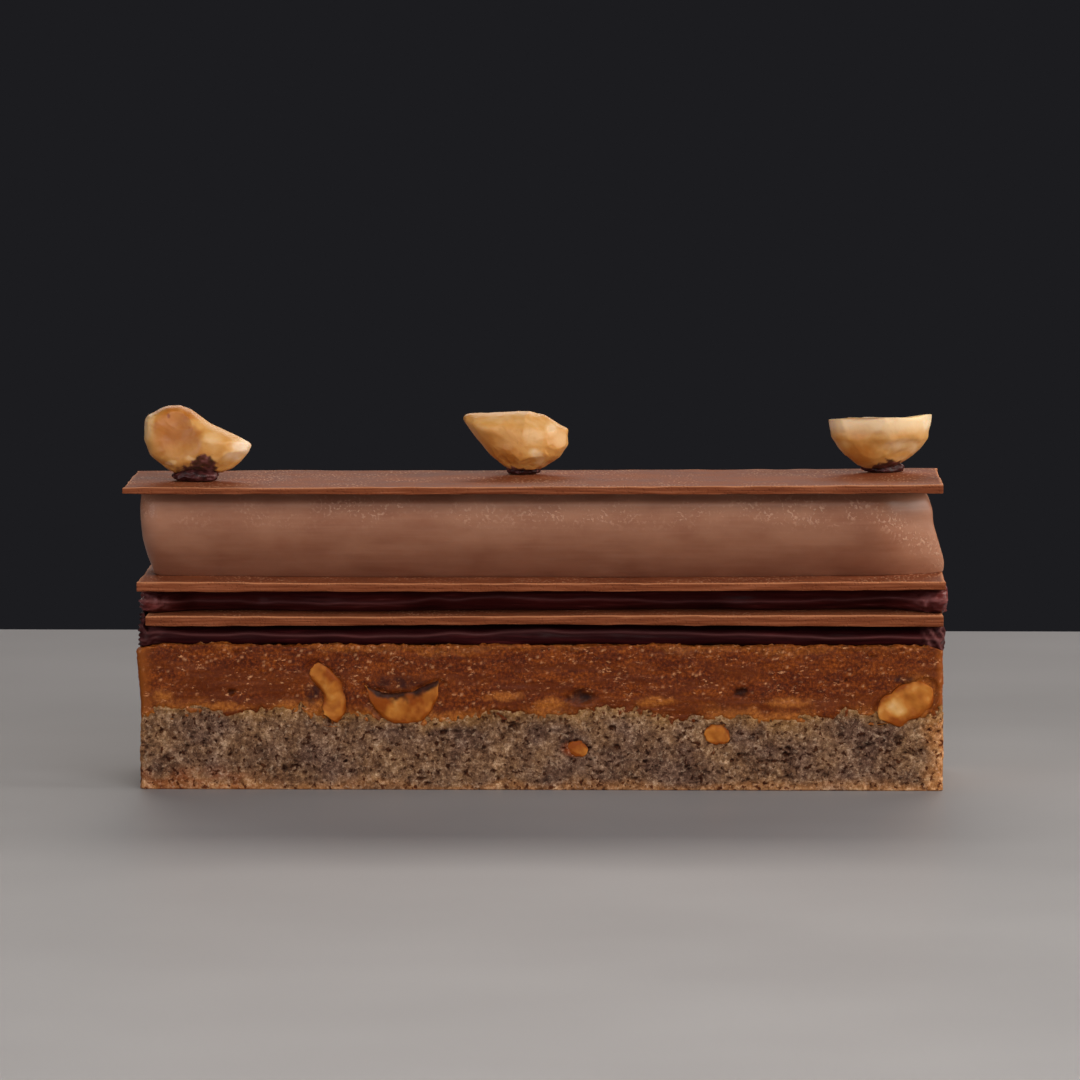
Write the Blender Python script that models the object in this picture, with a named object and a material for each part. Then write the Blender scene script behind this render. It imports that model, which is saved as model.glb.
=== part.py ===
# A long chocolate and hazelnut entremet bar, cut so that its layers show along the front.
# Metres, +Z up. The origin is the centre of the resting face, +X runs along the bar to the
# right of its front, and the front cut face looks towards -Y.
import math
import random
from collections import namedtuple

import bmesh
import bpy
from mathutils import Vector

MM = 0.001
GAP = 0.3                      # clearance between neighbouring pieces, in millimetres

# Driving sizes in millimetres
BAR_LEFT = -55.0               # cut ends of the sponge
BAR_RIGHT = 55.0
BAR_DEPTH = 30.0
FRONT = -BAR_DEPTH / 2
SEAM_HEIGHT = 10.4             # mean height of the uneven seam between sponge and praline
PRALINE_TOP = 19.9
DOT_THICKNESS = 0.9

# Thin hand-laid sheets of chocolate: both ends along X, mean underside and top, and the
# phase of the slight wave that the layers beside each sheet follow too
Sheet = namedtuple("Sheet", "ends low high phase")
LOWER_SHEET = Sheet((-54.3, 55.2), 22.85, 24.15, 0.4)
MIDDLE_SHEET = Sheet((-55.5, 55.5), 27.4, 28.55, 2.1)
TOP_SHEET = Sheet((-57.4, 55.1), 40.75, 41.85, 3.6)

# Colours and finishes: colour, roughness
FINISHES = {
    "sponge": ((0.16, 0.078, 0.038), 0.95),
    "praline": ((0.13, 0.035, 0.010), 0.60),
    "ganache": ((0.012, 0.004, 0.004), 0.25),
    "milk_chocolate": ((0.19, 0.075, 0.038), 0.45),
    "cream": ((0.21, 0.095, 0.055), 0.50),
    "hazelnut": ((0.56, 0.30, 0.11), 0.50),
}


def start_scene():
    for item in list(bpy.data.objects):
        bpy.data.objects.remove(item, do_unlink=True)
    groups = []
    for name in ("entremet_bar", "cutters"):
        group = bpy.data.collections.new(name)
        bpy.context.scene.collection.children.link(group)
        groups.append(group)
    return groups


def make_materials():
    made = {}
    for name, (colour, roughness) in FINISHES.items():
        material = bpy.data.materials.new(name)
        material.use_nodes = True
        shader = material.node_tree.nodes["Principled BSDF"]
        shader.inputs["Base Color"].default_value = (*colour, 1.0)
        shader.inputs["Roughness"].default_value = roughness
        shader.inputs["Metallic"].default_value = 0.0
        made[name] = material
    return made


def finish_object(name, bm, group, material, smooth_angle=None):
    """Turn a bmesh measured in millimetres into a named object in metres."""
    bmesh.ops.scale(bm, vec=(MM, MM, MM), verts=bm.verts)
    bmesh.ops.recalc_face_normals(bm, faces=bm.faces)
    mesh = bpy.data.meshes.new(name)
    bm.to_mesh(mesh)
    bm.free()
    if smooth_angle is not None:
        mesh.shade_smooth()
        mesh.set_sharp_from_angle(angle=math.radians(smooth_angle))
    item = bpy.data.objects.new(name, mesh)
    group.objects.link(item)
    if material is not None:
        mesh.materials.append(material)
    return item


def clamp(value, low, high):
    return max(low, min(high, value))


def seam_height(x, y):
    """Height of the uneven seam where praline has soaked into the sponge."""
    wave = 0.55 * math.sin(x * 0.13 + 0.6) + 0.35 * math.sin(x * 0.41 + y * 0.19)
    ripple = 0.22 * math.sin(x * 0.93 - y * 0.37 + 1.1)
    return SEAM_HEIGHT + wave + ripple


def praline_top(x, y):
    """Top of the praline, a little lower towards both ends and crumbly along its edges."""
    wave = 0.16 * math.sin(x * 0.31 + y * 0.23) + 0.10 * math.sin(x * 0.83 + 0.4)
    end_drop = 0.6 * max(0.0, (abs(x) - 51.5) / 3.5) ** 2
    return PRALINE_TOP - 0.12 + 0.45 * wave - end_drop


def sheet_wave(sheet, x):
    """Slight waviness of a thin chocolate sheet along the bar."""
    return 0.11 * math.sin(x * 0.085 + sheet.phase) + 0.05 * math.sin(x * 0.21 + sheet.phase)


def below_sheet(sheet, x):
    """Height that a layer pressed up under a sheet reaches, short of touching it."""
    return sheet.low + sheet_wave(sheet, x) - GAP


def above_sheet(sheet, x):
    """Height at which a layer laid on a sheet begins, just clear of it."""
    return sheet.high + sheet_wave(sheet, x) + GAP


def round_upright_corners(x, y, ends, radius):
    """Pull a point near one of the four upright corners back onto a round corner."""
    middle = (ends[0] + ends[1]) / 2
    half = (ends[1] - ends[0]) / 2
    over_x = abs(x - middle) - (half - radius)
    over_y = abs(y) - (BAR_DEPTH / 2 - radius)
    if over_x <= 0 or over_y <= 0:
        return x, y
    reach = math.hypot(over_x, over_y)
    if reach <= radius:
        return x, y
    shrink = radius / reach
    x = middle + math.copysign(half - radius + over_x * shrink, x - middle)
    y = math.copysign(BAR_DEPTH / 2 - radius + over_y * shrink, y)
    return x, y


def layer(name, ends, underside, top, columns, rows, corner, group, material):
    """A slab between two height functions, from a flat grid that is extruded upwards."""
    bm = bmesh.new()
    bmesh.ops.create_grid(bm, x_segments=columns, y_segments=rows, size=0.5)
    # Split before extruding, so that facing layers have the same triangles.
    bmesh.ops.triangulate(bm, faces=bm.faces[:], quad_method="FIXED")
    made = bmesh.ops.extrude_face_region(bm, geom=bm.faces[:])
    upper = {v for v in made["geom"] if isinstance(v, bmesh.types.BMVert)}
    length = ends[1] - ends[0]
    middle = (ends[0] + ends[1]) / 2
    for vert in bm.verts:
        x = middle + vert.co.x * length
        y = vert.co.y * BAR_DEPTH
        x, y = round_upright_corners(x, y, ends, corner)
        height = top(x, y) if vert in upper else underside(x, y)
        vert.co = Vector((x, y, height))
    return finish_object(name, bm, group, material, smooth_angle=35)


def chocolate_sheet(name, sheet, group, material):
    """A thin snapped sheet of chocolate that keeps one thickness along its waves."""
    def underside(x, y):
        return sheet.low + sheet_wave(sheet, x)

    def top(x, y):
        return sheet.high + sheet_wave(sheet, x)

    return layer(name, sheet.ends, underside, top, 24, 4, 0.6, group, material)


def rope(name, rings, segments, cap, ends, section, group, material):
    """A piped rope along X, from a UV sphere whose rings are spread along the bar.

    ends(angle) gives where the two ends lie, and section(x, angle) gives y and z of the skin.
    """
    cap_steps = ((0.0, 0.0), (0.0, 0.84), (0.3, 0.95), (1.0, 1.0))
    bm = bmesh.new()
    bmesh.ops.create_uvsphere(bm, u_segments=segments, v_segments=rings, radius=1.0)
    for vert in bm.verts:
        turned = Vector((vert.co.z, vert.co.x, vert.co.y))
        latitude = math.asin(clamp(turned.x, -1.0, 1.0))
        ring = round((latitude / math.pi + 0.5) * rings)
        angle = math.atan2(turned.z, turned.y)
        left, right = ends(angle if 0 < ring < rings else 0.0)
        from_end = min(ring, rings - ring)
        if from_end < len(cap_steps):
            inward, shrink = cap_steps[from_end]
            x = left + inward * cap if ring < rings / 2 else right - inward * cap
        else:
            last = len(cap_steps) - 1
            share = (ring - last) / (rings - 2 * last)
            x = left + cap + share * (right - left - 2 * cap)
            shrink = 1.0
        y, z = section(x, angle)
        y_low, z_low = section(x, -math.pi / 2)
        z_high = section(x, math.pi / 2)[1]
        z_mid = (z_low + z_high) / 2
        vert.co = Vector((x, y * shrink, z_mid + (z - z_mid) * shrink))
    return finish_object(name, bm, group, material, smooth_angle=60)


def stadium(angle, contact, bulge):
    """Half width of a rope pressed between two sheets, at an angle round its section."""
    return contact * clamp(1.7 * math.cos(angle), -1.0, 1.0) + bulge * math.cos(angle)


def between(low, high, angle):
    """Height of a rope's skin at an angle round its section, from its underside to its top."""
    return (low + high) / 2 + (high - low) / 2 * math.sin(angle)


def make_cream(group, material):
    def ends(angle):
        lift = math.sin(angle)
        return -54.8 - 0.5 * lift, 54.6 - 1.0 * lift

    def section(x, angle):
        rounding = 1.0 - 0.14 * max(0.0, (x - 46.0) / 8.0) ** 2
        width = stadium(angle, 4.0, 6.1) * rounding
        height = between(above_sheet(MIDDLE_SHEET, x), below_sheet(TOP_SHEET, x), angle)
        return width + 0.12 * math.sin(x * 0.12), height

    return rope("cream_bar", 24, 24, 1.6, ends, section, group, material)


def make_upper_ganache(group, material):
    def ends(angle):
        return -55.0 - 0.2 * math.cos(2 * angle), 55.5 + 0.35 * math.sin(angle)

    def section(x, angle):
        # The last stretch at each end was squeezed out towards the corners.
        spread = 1.0 + 0.55 * clamp((abs(x) - 47.0) / 8.0, 0.0, 1.0) ** 2
        width = stadium(angle, 6.0, 1.7) * spread + 0.25 * math.sin(x * 0.23 + 0.5)
        height = between(above_sheet(LOWER_SHEET, x), below_sheet(MIDDLE_SHEET, x), angle)
        return width, height

    return rope("ganache_upper", 28, 16, 0.8, ends, section, group, material)


def make_lower_ganache(group, material):
    drip_start = 54.55         # just outside the top right corner of the praline
    drip_bottom = PRALINE_TOP - 0.5

    def ends(angle):
        sag = max(0.0, -math.sin(angle))
        return -55.2 + 0.5 * sag, 55.1 + 0.45 * sag

    def section(x, angle):
        low = praline_top(clamp(x, BAR_LEFT, BAR_RIGHT), 0.0) + 0.12 + GAP
        if x > drip_start:
            low = drip_bottom
        foot = 12.4 - 1.3 * math.sin(angle)
        return stadium(angle, foot, 0.9), between(low, below_sheet(LOWER_SHEET, x), angle)

    return rope("ganache_lower", 28, 16, 0.55, ends, section, group, material)


def blob_outline(points, angle):
    """Radius of a smooth closed outline at an angle, blended between its named points."""
    turn = 2 * math.pi
    marks = sorted((math.atan2(z, x) % turn, math.hypot(x, z)) for x, z in points)
    angle %= turn
    for index, (start, radius) in enumerate(marks):
        end, next_radius = marks[(index + 1) % len(marks)]
        span = (end - start) % turn
        along = (angle - start) % turn
        if along <= span:
            share = along / span
            return radius + (next_radius - radius) * share
    return marks[0][1]


def kernel_piece(name, centre, points, front_depth, back_depth, hollow, group, material):
    """A broken hazelnut piece: a ball with its poles front and back, fitted to an outline."""
    bm = bmesh.new()
    bmesh.ops.create_uvsphere(bm, u_segments=20, v_segments=10, radius=1.0)
    floor = above_sheet(TOP_SHEET, centre[0]) + DOT_THICKNESS + GAP
    for vert in bm.verts:
        across, upward, front = vert.co.x, vert.co.y, vert.co.z
        reach = min(1.0, math.hypot(across, upward))
        radius = blob_outline(points, math.atan2(upward, across)) if reach > 0.01 else 0.0
        scale = radius * reach ** 0.85 / max(reach, 0.01)
        depth = front * (front_depth if front > 0 else back_depth)
        if front > 0:
            depth -= hollow * (1.0 - reach) ** 1.5
        x = centre[0] + across * scale
        z = centre[2] + upward * scale
        vert.co = Vector((x, centre[1] - depth, max(z, floor)))
    return finish_object(name, bm, group, material, smooth_angle=40)


def kernel_bowl(name, centre, half_length, half_depth, height, group, material):
    """Half a hazelnut with its split face up and the shallow hollow of its heart."""
    bm = bmesh.new()
    bmesh.ops.create_uvsphere(bm, u_segments=20, v_segments=10, radius=1.0)
    floor = above_sheet(TOP_SHEET, centre[0]) + DOT_THICKNESS + GAP
    for vert in bm.verts:
        side, inward, up = vert.co
        reach = min(1.0, math.hypot(side, inward))
        if up > 0.01:
            spread = reach ** 0.5 if reach > 0 else 0.0
            factor = spread / max(reach, 0.001)
            side, inward = side * factor, inward * factor
            z = centre[2] - 1.3 * (1.0 - spread) - 0.25 * (1.0 - spread ** 2)
        else:
            z = centre[2] + up * height
        rim_lift = 0.45 * max(0.0, side - 0.6) / 0.4
        x = centre[0] + side * half_length
        y = centre[1] + inward * half_depth
        vert.co = Vector((x, y, max(z + rim_lift * (1.0 + min(0.0, up)), floor)))
    return finish_object(name, bm, group, material, smooth_angle=40)


def chocolate_dot(name, centre, half_length, half_depth, seed, group, material):
    """A small dab of set chocolate that holds a hazelnut."""
    draw = random.Random(seed)
    lobes = [draw.uniform(0.90, 1.08) for _ in range(16)]
    bottom = above_sheet(TOP_SHEET, centre[0])
    bm = bmesh.new()
    bmesh.ops.create_cone(bm, cap_ends=True, segments=16, radius1=1.0, radius2=0.82, depth=1.0)
    for vert in bm.verts:
        turn = math.atan2(vert.co.y, vert.co.x) / (2 * math.pi) * 16
        lobe = lobes[round(turn) % 16]
        x = centre[0] + vert.co.x * half_length * lobe
        y = centre[1] + vert.co.y * half_depth * lobe
        vert.co = Vector((x, y, bottom + (vert.co.z + 0.5) * DOT_THICKNESS))
    return finish_object(name, bm, group, material, smooth_angle=30)


def arc(centre, radii, start, end, steps, tilt=0.0):
    """Points along part of an ellipse, with angles in degrees."""
    points = []
    cos_tilt, sin_tilt = math.cos(math.radians(tilt)), math.sin(math.radians(tilt))
    for step in range(steps + 1):
        angle = math.radians(start + (end - start) * step / steps)
        across, upward = radii[0] * math.cos(angle), radii[1] * math.sin(angle)
        x = centre[0] + across * cos_tilt - upward * sin_tilt
        z = centre[1] + across * sin_tilt + upward * cos_tilt
        points.append((x, z))
    return points


def curl_outline(grow):
    """Cut face of a curled sliver of kernel: a thick C that opens to the left."""
    centre, outer, inner = (-31.2, 12.9), 4.6 + grow, 2.45 - grow
    spill = math.degrees(grow / outer)
    outside = arc(centre, (outer, outer), -84 - spill, 96 + spill, 12)
    inside = arc(centre, (inner, inner), 100 + spill * 2, -76 - spill * 2, 8)
    return outside + inside


def half_moon_outline(grow):
    """Cut face of half a kernel that lies round side down, its split face sagging."""
    centre = (-19.15, 14.5)
    bowl = arc(centre, (5.1 + grow, 5.2 + grow), 180, 360, 14, tilt=2.0)
    sag = arc((centre[0], centre[1] + grow), (4.2, 1.1), 0, -180, 6, tilt=2.0)
    return bowl + sag


def lump_outline(centre, radii, tilt):
    """Cut face of a plain chunk of kernel, as a function of how far it grows."""
    def outline(grow):
        return arc(centre, (radii[0] + grow, radii[1] + grow), 0, 345, 11, tilt=tilt)
    return outline


def plate(name, points, front, depth, group, material):
    """A flat outline in the plane of the front face, given a depth into the bar."""
    curve = bpy.data.curves.new(name, "CURVE")
    curve.dimensions = "2D"
    curve.fill_mode = "BOTH"
    curve.extrude = depth / 2 * MM
    spline = curve.splines.new("POLY")
    spline.points.add(len(points) - 1)
    for point, (x, z) in zip(spline.points, points):
        point.co = (x * MM, z * MM, 0.0, 1.0)
    spline.use_cyclic_u = True
    guide = bpy.data.objects.new(name + "_outline", curve)
    group.objects.link(guide)
    guide.rotation_euler = (math.pi / 2, 0.0, 0.0)
    guide.location = (0.0, (front + depth / 2) * MM, 0.0)
    bpy.context.view_layer.update()
    evaluated = guide.evaluated_get(bpy.context.evaluated_depsgraph_get())
    mesh = bpy.data.meshes.new_from_object(evaluated)
    mesh.transform(guide.matrix_world)
    bpy.data.objects.remove(guide, do_unlink=True)
    bm = bmesh.new()
    bm.from_mesh(mesh)
    bmesh.ops.remove_doubles(bm, verts=bm.verts, dist=0.00001)
    bmesh.ops.recalc_face_normals(bm, faces=bm.faces)
    bm.to_mesh(mesh)
    bm.free()
    mesh.materials.clear()
    item = bpy.data.objects.new(name, mesh)
    group.objects.link(item)
    if material is not None:
        mesh.materials.append(material)
    return item


def set_nut_in_cut_face(name, outline, depth, hosts, parts, cutters, material):
    """A nut piece flush with the cut face, in a pocket that clears it all round."""
    plate(name, outline(0.0), FRONT, depth, parts, material)
    overshoot = 1.0
    pocket = plate(name + "_pocket", outline(GAP), FRONT - overshoot,
                   depth + GAP + overshoot, cutters, None)
    pocket.hide_render = True
    pocket.display_type = "WIRE"
    for host in hosts:
        cut = host.modifiers.new(name + "_pocket", "BOOLEAN")
        cut.operation = "DIFFERENCE"
        cut.solver = "EXACT"
        cut.object = pocket


def main():
    parts, cutters = start_scene()
    looks = make_materials()
    bar = (BAR_LEFT, BAR_RIGHT)

    sponge = layer("sponge_base", bar, lambda x, y: 0.0,
                   lambda x, y: seam_height(x, y) - GAP / 2,
                   40, 5, 1.6, parts, looks["sponge"])
    praline = layer("praline_layer", bar, lambda x, y: seam_height(x, y) + GAP / 2,
                    praline_top, 40, 5, 1.6, parts, looks["praline"])

    nuts_in_cut = (
        ("nut_inset_curl", curl_outline, 7.0, (sponge, praline)),
        ("nut_inset_half", half_moon_outline, 6.0, (sponge, praline)),
        ("nut_inset_corner", lump_outline((50.0, 12.1), (3.9, 2.1), 24.0), 5.0,
         (sponge, praline)),
        ("nut_crumb_centre", lump_outline((5.0, 5.9), (1.3, 0.9), -12.0), 1.8, (sponge,)),
        ("nut_crumb_right", lump_outline((24.2, 7.6), (1.8, 1.3), 15.0), 2.2, (sponge,)),
    )
    for name, outline, depth, hosts in nuts_in_cut:
        set_nut_in_cut_face(name, outline, depth, hosts, parts, cutters, looks["hazelnut"])

    make_lower_ganache(parts, looks["ganache"])
    chocolate_sheet("sheet_lower", LOWER_SHEET, parts, looks["milk_chocolate"])
    make_upper_ganache(parts, looks["ganache"])
    chocolate_sheet("sheet_middle", MIDDLE_SHEET, parts, looks["milk_chocolate"])
    make_cream(parts, looks["cream"])
    chocolate_sheet("sheet_top", TOP_SHEET, parts, looks["milk_chocolate"])

    dots = (
        ("chocolate_dot_left", (-48.0, -3.0), 3.6, 3.0, 11),
        ("chocolate_dot_centre", (-3.1, 7.6), 2.5, 2.2, 12),
        ("chocolate_dot_right", (47.4, 8.2), 2.8, 2.3, 13),
    )
    for name, centre, half_length, half_depth, seed in dots:
        chocolate_dot(name, centre, half_length, half_depth, seed, parts, looks["ganache"])

    # Outlines are seen from the front, relative to each piece's own middle.
    left_points = ((-5.9, 0.0), (-5.7, 3.2), (-3.7, 4.4), (-1.2, 4.7), (1.2, 3.9),
                   (3.2, 2.1), (5.5, 1.0), (8.5, -0.7), (7.3, -2.8), (4.6, -4.4),
                   (-0.8, -4.6), (-3.6, -3.9), (-5.2, -2.0))
    kernel_piece("hazelnut_left", (-49.0, -3.0, 47.6), left_points, 4.2, 5.2, 1.6,
                 parts, looks["hazelnut"])
    centre_points = ((-7.9, 3.1), (-7.4, 3.9), (-2.6, 4.2), (1.6, 4.3), (3.7, 3.7),
                     (5.8, 2.3), (7.0, 0.8), (6.9, -0.8), (5.4, -2.6), (3.4, -4.1),
                     (-1.2, -4.2), (-4.0, -1.9), (-6.2, 0.8))
    kernel_piece("hazelnut_centre", (-3.5, 7.0, 46.3), centre_points, 4.8, 4.8, 0.4,
                 parts, looks["hazelnut"])
    kernel_bowl("hazelnut_right", (46.9, 7.6, 49.5), 7.1, 5.4, 6.6, parts,
                looks["hazelnut"])


main()
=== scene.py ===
import itertools
import math

import bmesh
import bpy
import numpy as np
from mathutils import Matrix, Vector


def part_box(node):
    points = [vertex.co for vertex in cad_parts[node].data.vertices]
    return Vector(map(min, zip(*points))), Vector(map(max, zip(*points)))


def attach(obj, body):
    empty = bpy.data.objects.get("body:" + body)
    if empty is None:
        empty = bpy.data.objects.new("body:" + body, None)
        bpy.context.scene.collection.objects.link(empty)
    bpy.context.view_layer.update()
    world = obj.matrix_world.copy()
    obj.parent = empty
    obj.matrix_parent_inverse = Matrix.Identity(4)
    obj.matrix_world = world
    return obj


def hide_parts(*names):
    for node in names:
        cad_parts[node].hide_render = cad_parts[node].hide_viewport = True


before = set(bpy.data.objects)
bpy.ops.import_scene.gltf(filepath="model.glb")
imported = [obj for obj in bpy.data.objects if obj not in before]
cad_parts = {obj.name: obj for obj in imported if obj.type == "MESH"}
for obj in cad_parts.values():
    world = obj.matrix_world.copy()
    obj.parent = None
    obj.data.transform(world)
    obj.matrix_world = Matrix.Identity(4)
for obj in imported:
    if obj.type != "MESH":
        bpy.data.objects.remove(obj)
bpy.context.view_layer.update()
mm = 0.001                                # the frame is in metres, the sizes below in mm
print("loaded the frame with", len(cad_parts), "nodes")


# Numbers: steady noise, so that every run gives the same crumb

def latticeRandom(cells, seed):
    # One steady random number from 0 to 1 for each point of a lattice
    # The large numbers only stir the bits
    mixed = cells[..., 0] * 374761393 + cells[..., 1] * 668265263 + cells[..., 2] * 974634777
    mixed = (mixed + seed * 144665) & 0x7FFFFFFF
    mixed = ((mixed ^ (mixed >> 13)) * 1274126177) & 0x7FFFFFFF
    mixed = ((mixed ^ (mixed >> 15)) * 224682251) & 0x7FFFFFFF
    return (mixed ^ (mixed >> 14)) / 0x7FFFFFFF


def softNoise(points, size, seed=0):
    # Smooth noise from -1 to 1 whose bumps are about `size` mm wide
    cell = points / np.asarray(size, float)
    low = np.floor(cell).astype(np.int64)
    part = cell - low
    part = part * part * (3 - 2 * part)
    total = np.zeros(points.shape[:-1])
    for corner in itertools.product((0, 1), repeat=3):
        share = np.prod(np.where(corner, part, 1 - part), axis=-1)
        total += share * latticeRandom(low + np.array(corner), seed)
    return total * 2 - 1


def roughNoise(points, size, seed=0, layerCount=3):
    # The same with finer and finer bumps on top
    size = np.asarray(size, float)
    total = sum(softNoise(points, size / 2 ** n, seed + n) / 2 ** n for n in range(layerCount))
    return total / (2 - 2 ** (1 - layerCount))


def specks(points, spacing, seed):
    # Distance in mm to the nearest of a scatter of points, and that point's random number
    cell = points / spacing
    base = np.floor(cell).astype(np.int64)
    nearest = np.full(points.shape[:-1], 9.0)
    pick = np.zeros(points.shape[:-1])
    for step in itertools.product((-1, 0, 1), repeat=3):
        near = base + np.array(step)
        place = np.stack([latticeRandom(near, seed + n) for n in (11, 23, 37)], axis=-1)
        gap = np.linalg.norm(near + place - cell, axis=-1)
        closer = gap < nearest
        nearest = np.where(closer, gap, nearest)
        pick = np.where(closer, latticeRandom(near, seed + 51), pick)
    return nearest * spacing, pick


def hollows(points, spacing, share, radius, seed):
    # 0 outside a scatter of round hollows, rising to 1 in the middle of each
    distance, pick = specks(points, spacing, seed)
    reach = radius * (0.55 + 0.75 * pick / share)
    return np.where(pick < share, np.sqrt(np.clip(1 - distance / reach, 0, 1)), 0)


def fade(value, start, end):
    part = np.clip((value - start) / (end - start), 0, 1)
    return part * part * (3 - 2 * part)


def scattered(points, spacing, least, radius, seed):
    # 1 in the middle of each of a scatter of chips, 0 from its edge outwards
    distance, pick = specks(points, spacing, seed)
    return np.where(pick > least, np.clip(1 - distance / radius, 0, 1), 0)


def softMark(x, z, centre, radii):
    # A soft round mark on the cut face: 1 in the middle, 0 from its edge outwards
    return 1 - fade(np.hypot((x - centre[0]) / radii[0], (z - centre[1]) / radii[1]), 0.35, 1.0)


def signedPower(value, power):
    return np.sign(value) * np.abs(value) ** power


def curveThrough(at, pairs):
    # Soft curve through (place, value) pairs
    place, value = np.array(pairs, float).T
    reach = (place[-1] - place[0]) / 14
    nudges = np.array([-1.0, -0.5, 0.0, 0.5, 1.0]) * reach
    return sum(np.interp(at + n, place, value) for n in nudges) / len(nudges)


# Meshes

def nodeBox(node):
    low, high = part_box(node)
    return np.array(low) / mm, np.array(high) / mm


def skinMesh(name, rings, marks=None):
    # Closed skin over a stack of closed rings, in mm. A fan closes each end. marks are
    # numbers for each point of the rings, kept as attributes that the material reads.
    count, around = rings.shape[:2]
    tips = np.array([rings[0].mean(axis=0), rings[-1].mean(axis=0)])
    points = np.vstack([rings.reshape(-1, 3), tips]) * mm
    row = np.arange(count - 1)[:, None] * around
    here = np.arange(around)[None, :]
    beside = (here + 1) % around
    quads = np.stack([row + here, row + beside, row + around + beside, row + around + here],
                     axis=-1).reshape(-1, 4)
    first, last, top = count * around, count * around + 1, (count - 1) * around
    fans = [(first, (n + 1) % around, n) for n in range(around)]
    fans += [(last, top + n, top + (n + 1) % around) for n in range(around)]
    mesh = bpy.data.meshes.new(name)
    mesh.from_pydata(points.tolist(), [], quads.tolist() + fans)
    for mark, values in (marks or {}).items():
        addMark(mesh, mark, np.append(values.reshape(-1), [values[0].mean(), values[-1].mean()]))
    return mesh


def roundGrid(heights, around):
    # Grids of angles for rings round a lump: up from its middle, given in degrees, and round it
    turns = np.linspace(-np.pi, np.pi, around, endpoint=False)
    return np.meshgrid(np.radians(heights), turns, indexing="ij")


def addMark(mesh, name, values):
    layer = mesh.attributes.new(name, "FLOAT", "POINT")
    layer.data.foreach_set("value", values.astype(np.float32))


def addObject(name, data):
    thing = bpy.data.objects.new(name, data)
    bpy.context.scene.collection.objects.link(thing)
    return thing


def makePiece(name, mesh, material, node, smoothAngle=None):
    piece = addObject(name, mesh)
    mesh.materials.append(material)
    mesh.shade_smooth()
    if smoothAngle is not None:
        mesh.set_sharp_from_angle(angle=math.radians(smoothAngle))
    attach(piece, "root")
    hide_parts(node)
    print("made", name, "with", len(mesh.polygons), "faces")
    return piece


# Materials

def linear(hexColour):
    # sRGB hex to the linear RGBA that shaders work in
    channels = [int(hexColour[n:n + 2], 16) / 255 for n in (1, 3, 5)]
    return tuple(c / 12.92 if c <= 0.04045 else ((c + 0.055) / 1.055) ** 2.4
                 for c in channels) + (1.0,)


def addNode(tree, kind, settings):
    # One node with its settings and links. A name in small letters is the node's own
    # setting, a capital one is an input, and an input given a node is linked to it.
    node = tree.nodes.new("ShaderNode" + kind)
    for name, value in settings.items():
        if name == "stops":
            ramp = node.color_ramp
            while len(ramp.elements) < len(value):
                ramp.elements.new(0.5)
            for element, (position, colour) in zip(ramp.elements, value):
                element.position = position
                element.color = linear(colour) if isinstance(colour, str) else (*[colour] * 3, 1)
        elif isinstance(name, str) and name[0].islower():
            setattr(node, name, value)
        else:
            named = [s for s in node.inputs if s.name == name and s.enabled]
            socket = named[0] if named else node.inputs[name]
            if isinstance(value, bpy.types.Node):
                tree.links.new(next(s for s in value.outputs if s.enabled), socket)
            elif isinstance(value, bpy.types.NodeSocket):
                tree.links.new(value, socket)
            else:
                socket.default_value = linear(value) if isinstance(value, str) else value
    return node


def evenStops(first, last, colours):
    # Colours at even places along a ramp
    return list(zip(np.linspace(first, last, len(colours)), colours))


def unevenPattern(tree, place, width, stops, detail=3.0, roughness=0.5):
    # Noise that rises and falls about every `width` mm, turned into shares or colours
    noise = addNode(tree, "TexNoise", {"Scale": 1 / (width * mm), "Detail": detail,
                                       "Roughness": roughness, "Vector": place})
    return addNode(tree, "ValToRGB", {"Fac": noise, "stops": stops})


def layCoats(tree, colour, coats):
    # Coats over a colour, the lowest first. A coat is its share, which is a pattern or the
    # name of a mark on the mesh, and its paint. The share "shade" darkens what lies below.
    for share, paint in coats:
        settings = {"data_type": "RGBA", "Factor": share, "A": colour, "B": paint}
        if share == "shade":
            settings.update({"blend_type": "MULTIPLY", "Factor": 1.0})
        elif isinstance(share, str):
            mark = addNode(tree, "Attribute", {"attribute_name": share})
            settings["Factor"] = mark.outputs["Fac"]
        colour = addNode(tree, "Mix", settings)
    return colour


def startMaterial(name):
    material = bpy.data.materials.new(name)
    material.use_nodes = True
    material.node_tree.nodes.clear()
    place = addNode(material.node_tree, "TexCoord", {}).outputs["Object"]
    return material, material.node_tree, place


def finishMaterial(material, settings):
    tree = material.node_tree
    shader = addNode(tree, "BsdfPrincipled", settings)
    addNode(tree, "OutputMaterial", {"Surface": shader})
    return material


# Layers: what several pieces share, in mm

layers = {
    "halfDepth": 15.0,
    "blockEnds": (-55.2, 55.35),
    "seam": 10.4,                          # mean height of the sponge and praline seam
    "pralineTop": 19.9,
    "rounding": 0.22,                      # of the cut edges above and below
    "seamSink": 0.30,                      # how far each side of the seam gives way
    "pocketSink": 0.35,                    # how far sponge and praline sink round a nut piece
}
halfDepth = layers["halfDepth"]


def seamAt(flat):
    x, y = flat[..., 0], flat[..., 1]
    wave = 0.55 * np.sin(x * 0.13 + 0.6) + 0.35 * np.sin(x * 0.41 + y * 0.19)
    return layers["seam"] + wave + 0.22 * np.sin(x * 0.93 - y * 0.37 + 1.1)


def pralineTopAt(flat):
    x, y = flat[..., 0], flat[..., 1]
    wave = 0.16 * np.sin(x * 0.31 + y * 0.23) + 0.10 * np.sin(x * 0.83 + 0.4)
    endDrop = 0.6 * np.clip((np.abs(x) - 51.5) / 3.5, 0, None) ** 2
    return layers["pralineTop"] + 0.12 + 0.45 * wave - endDrop


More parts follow.
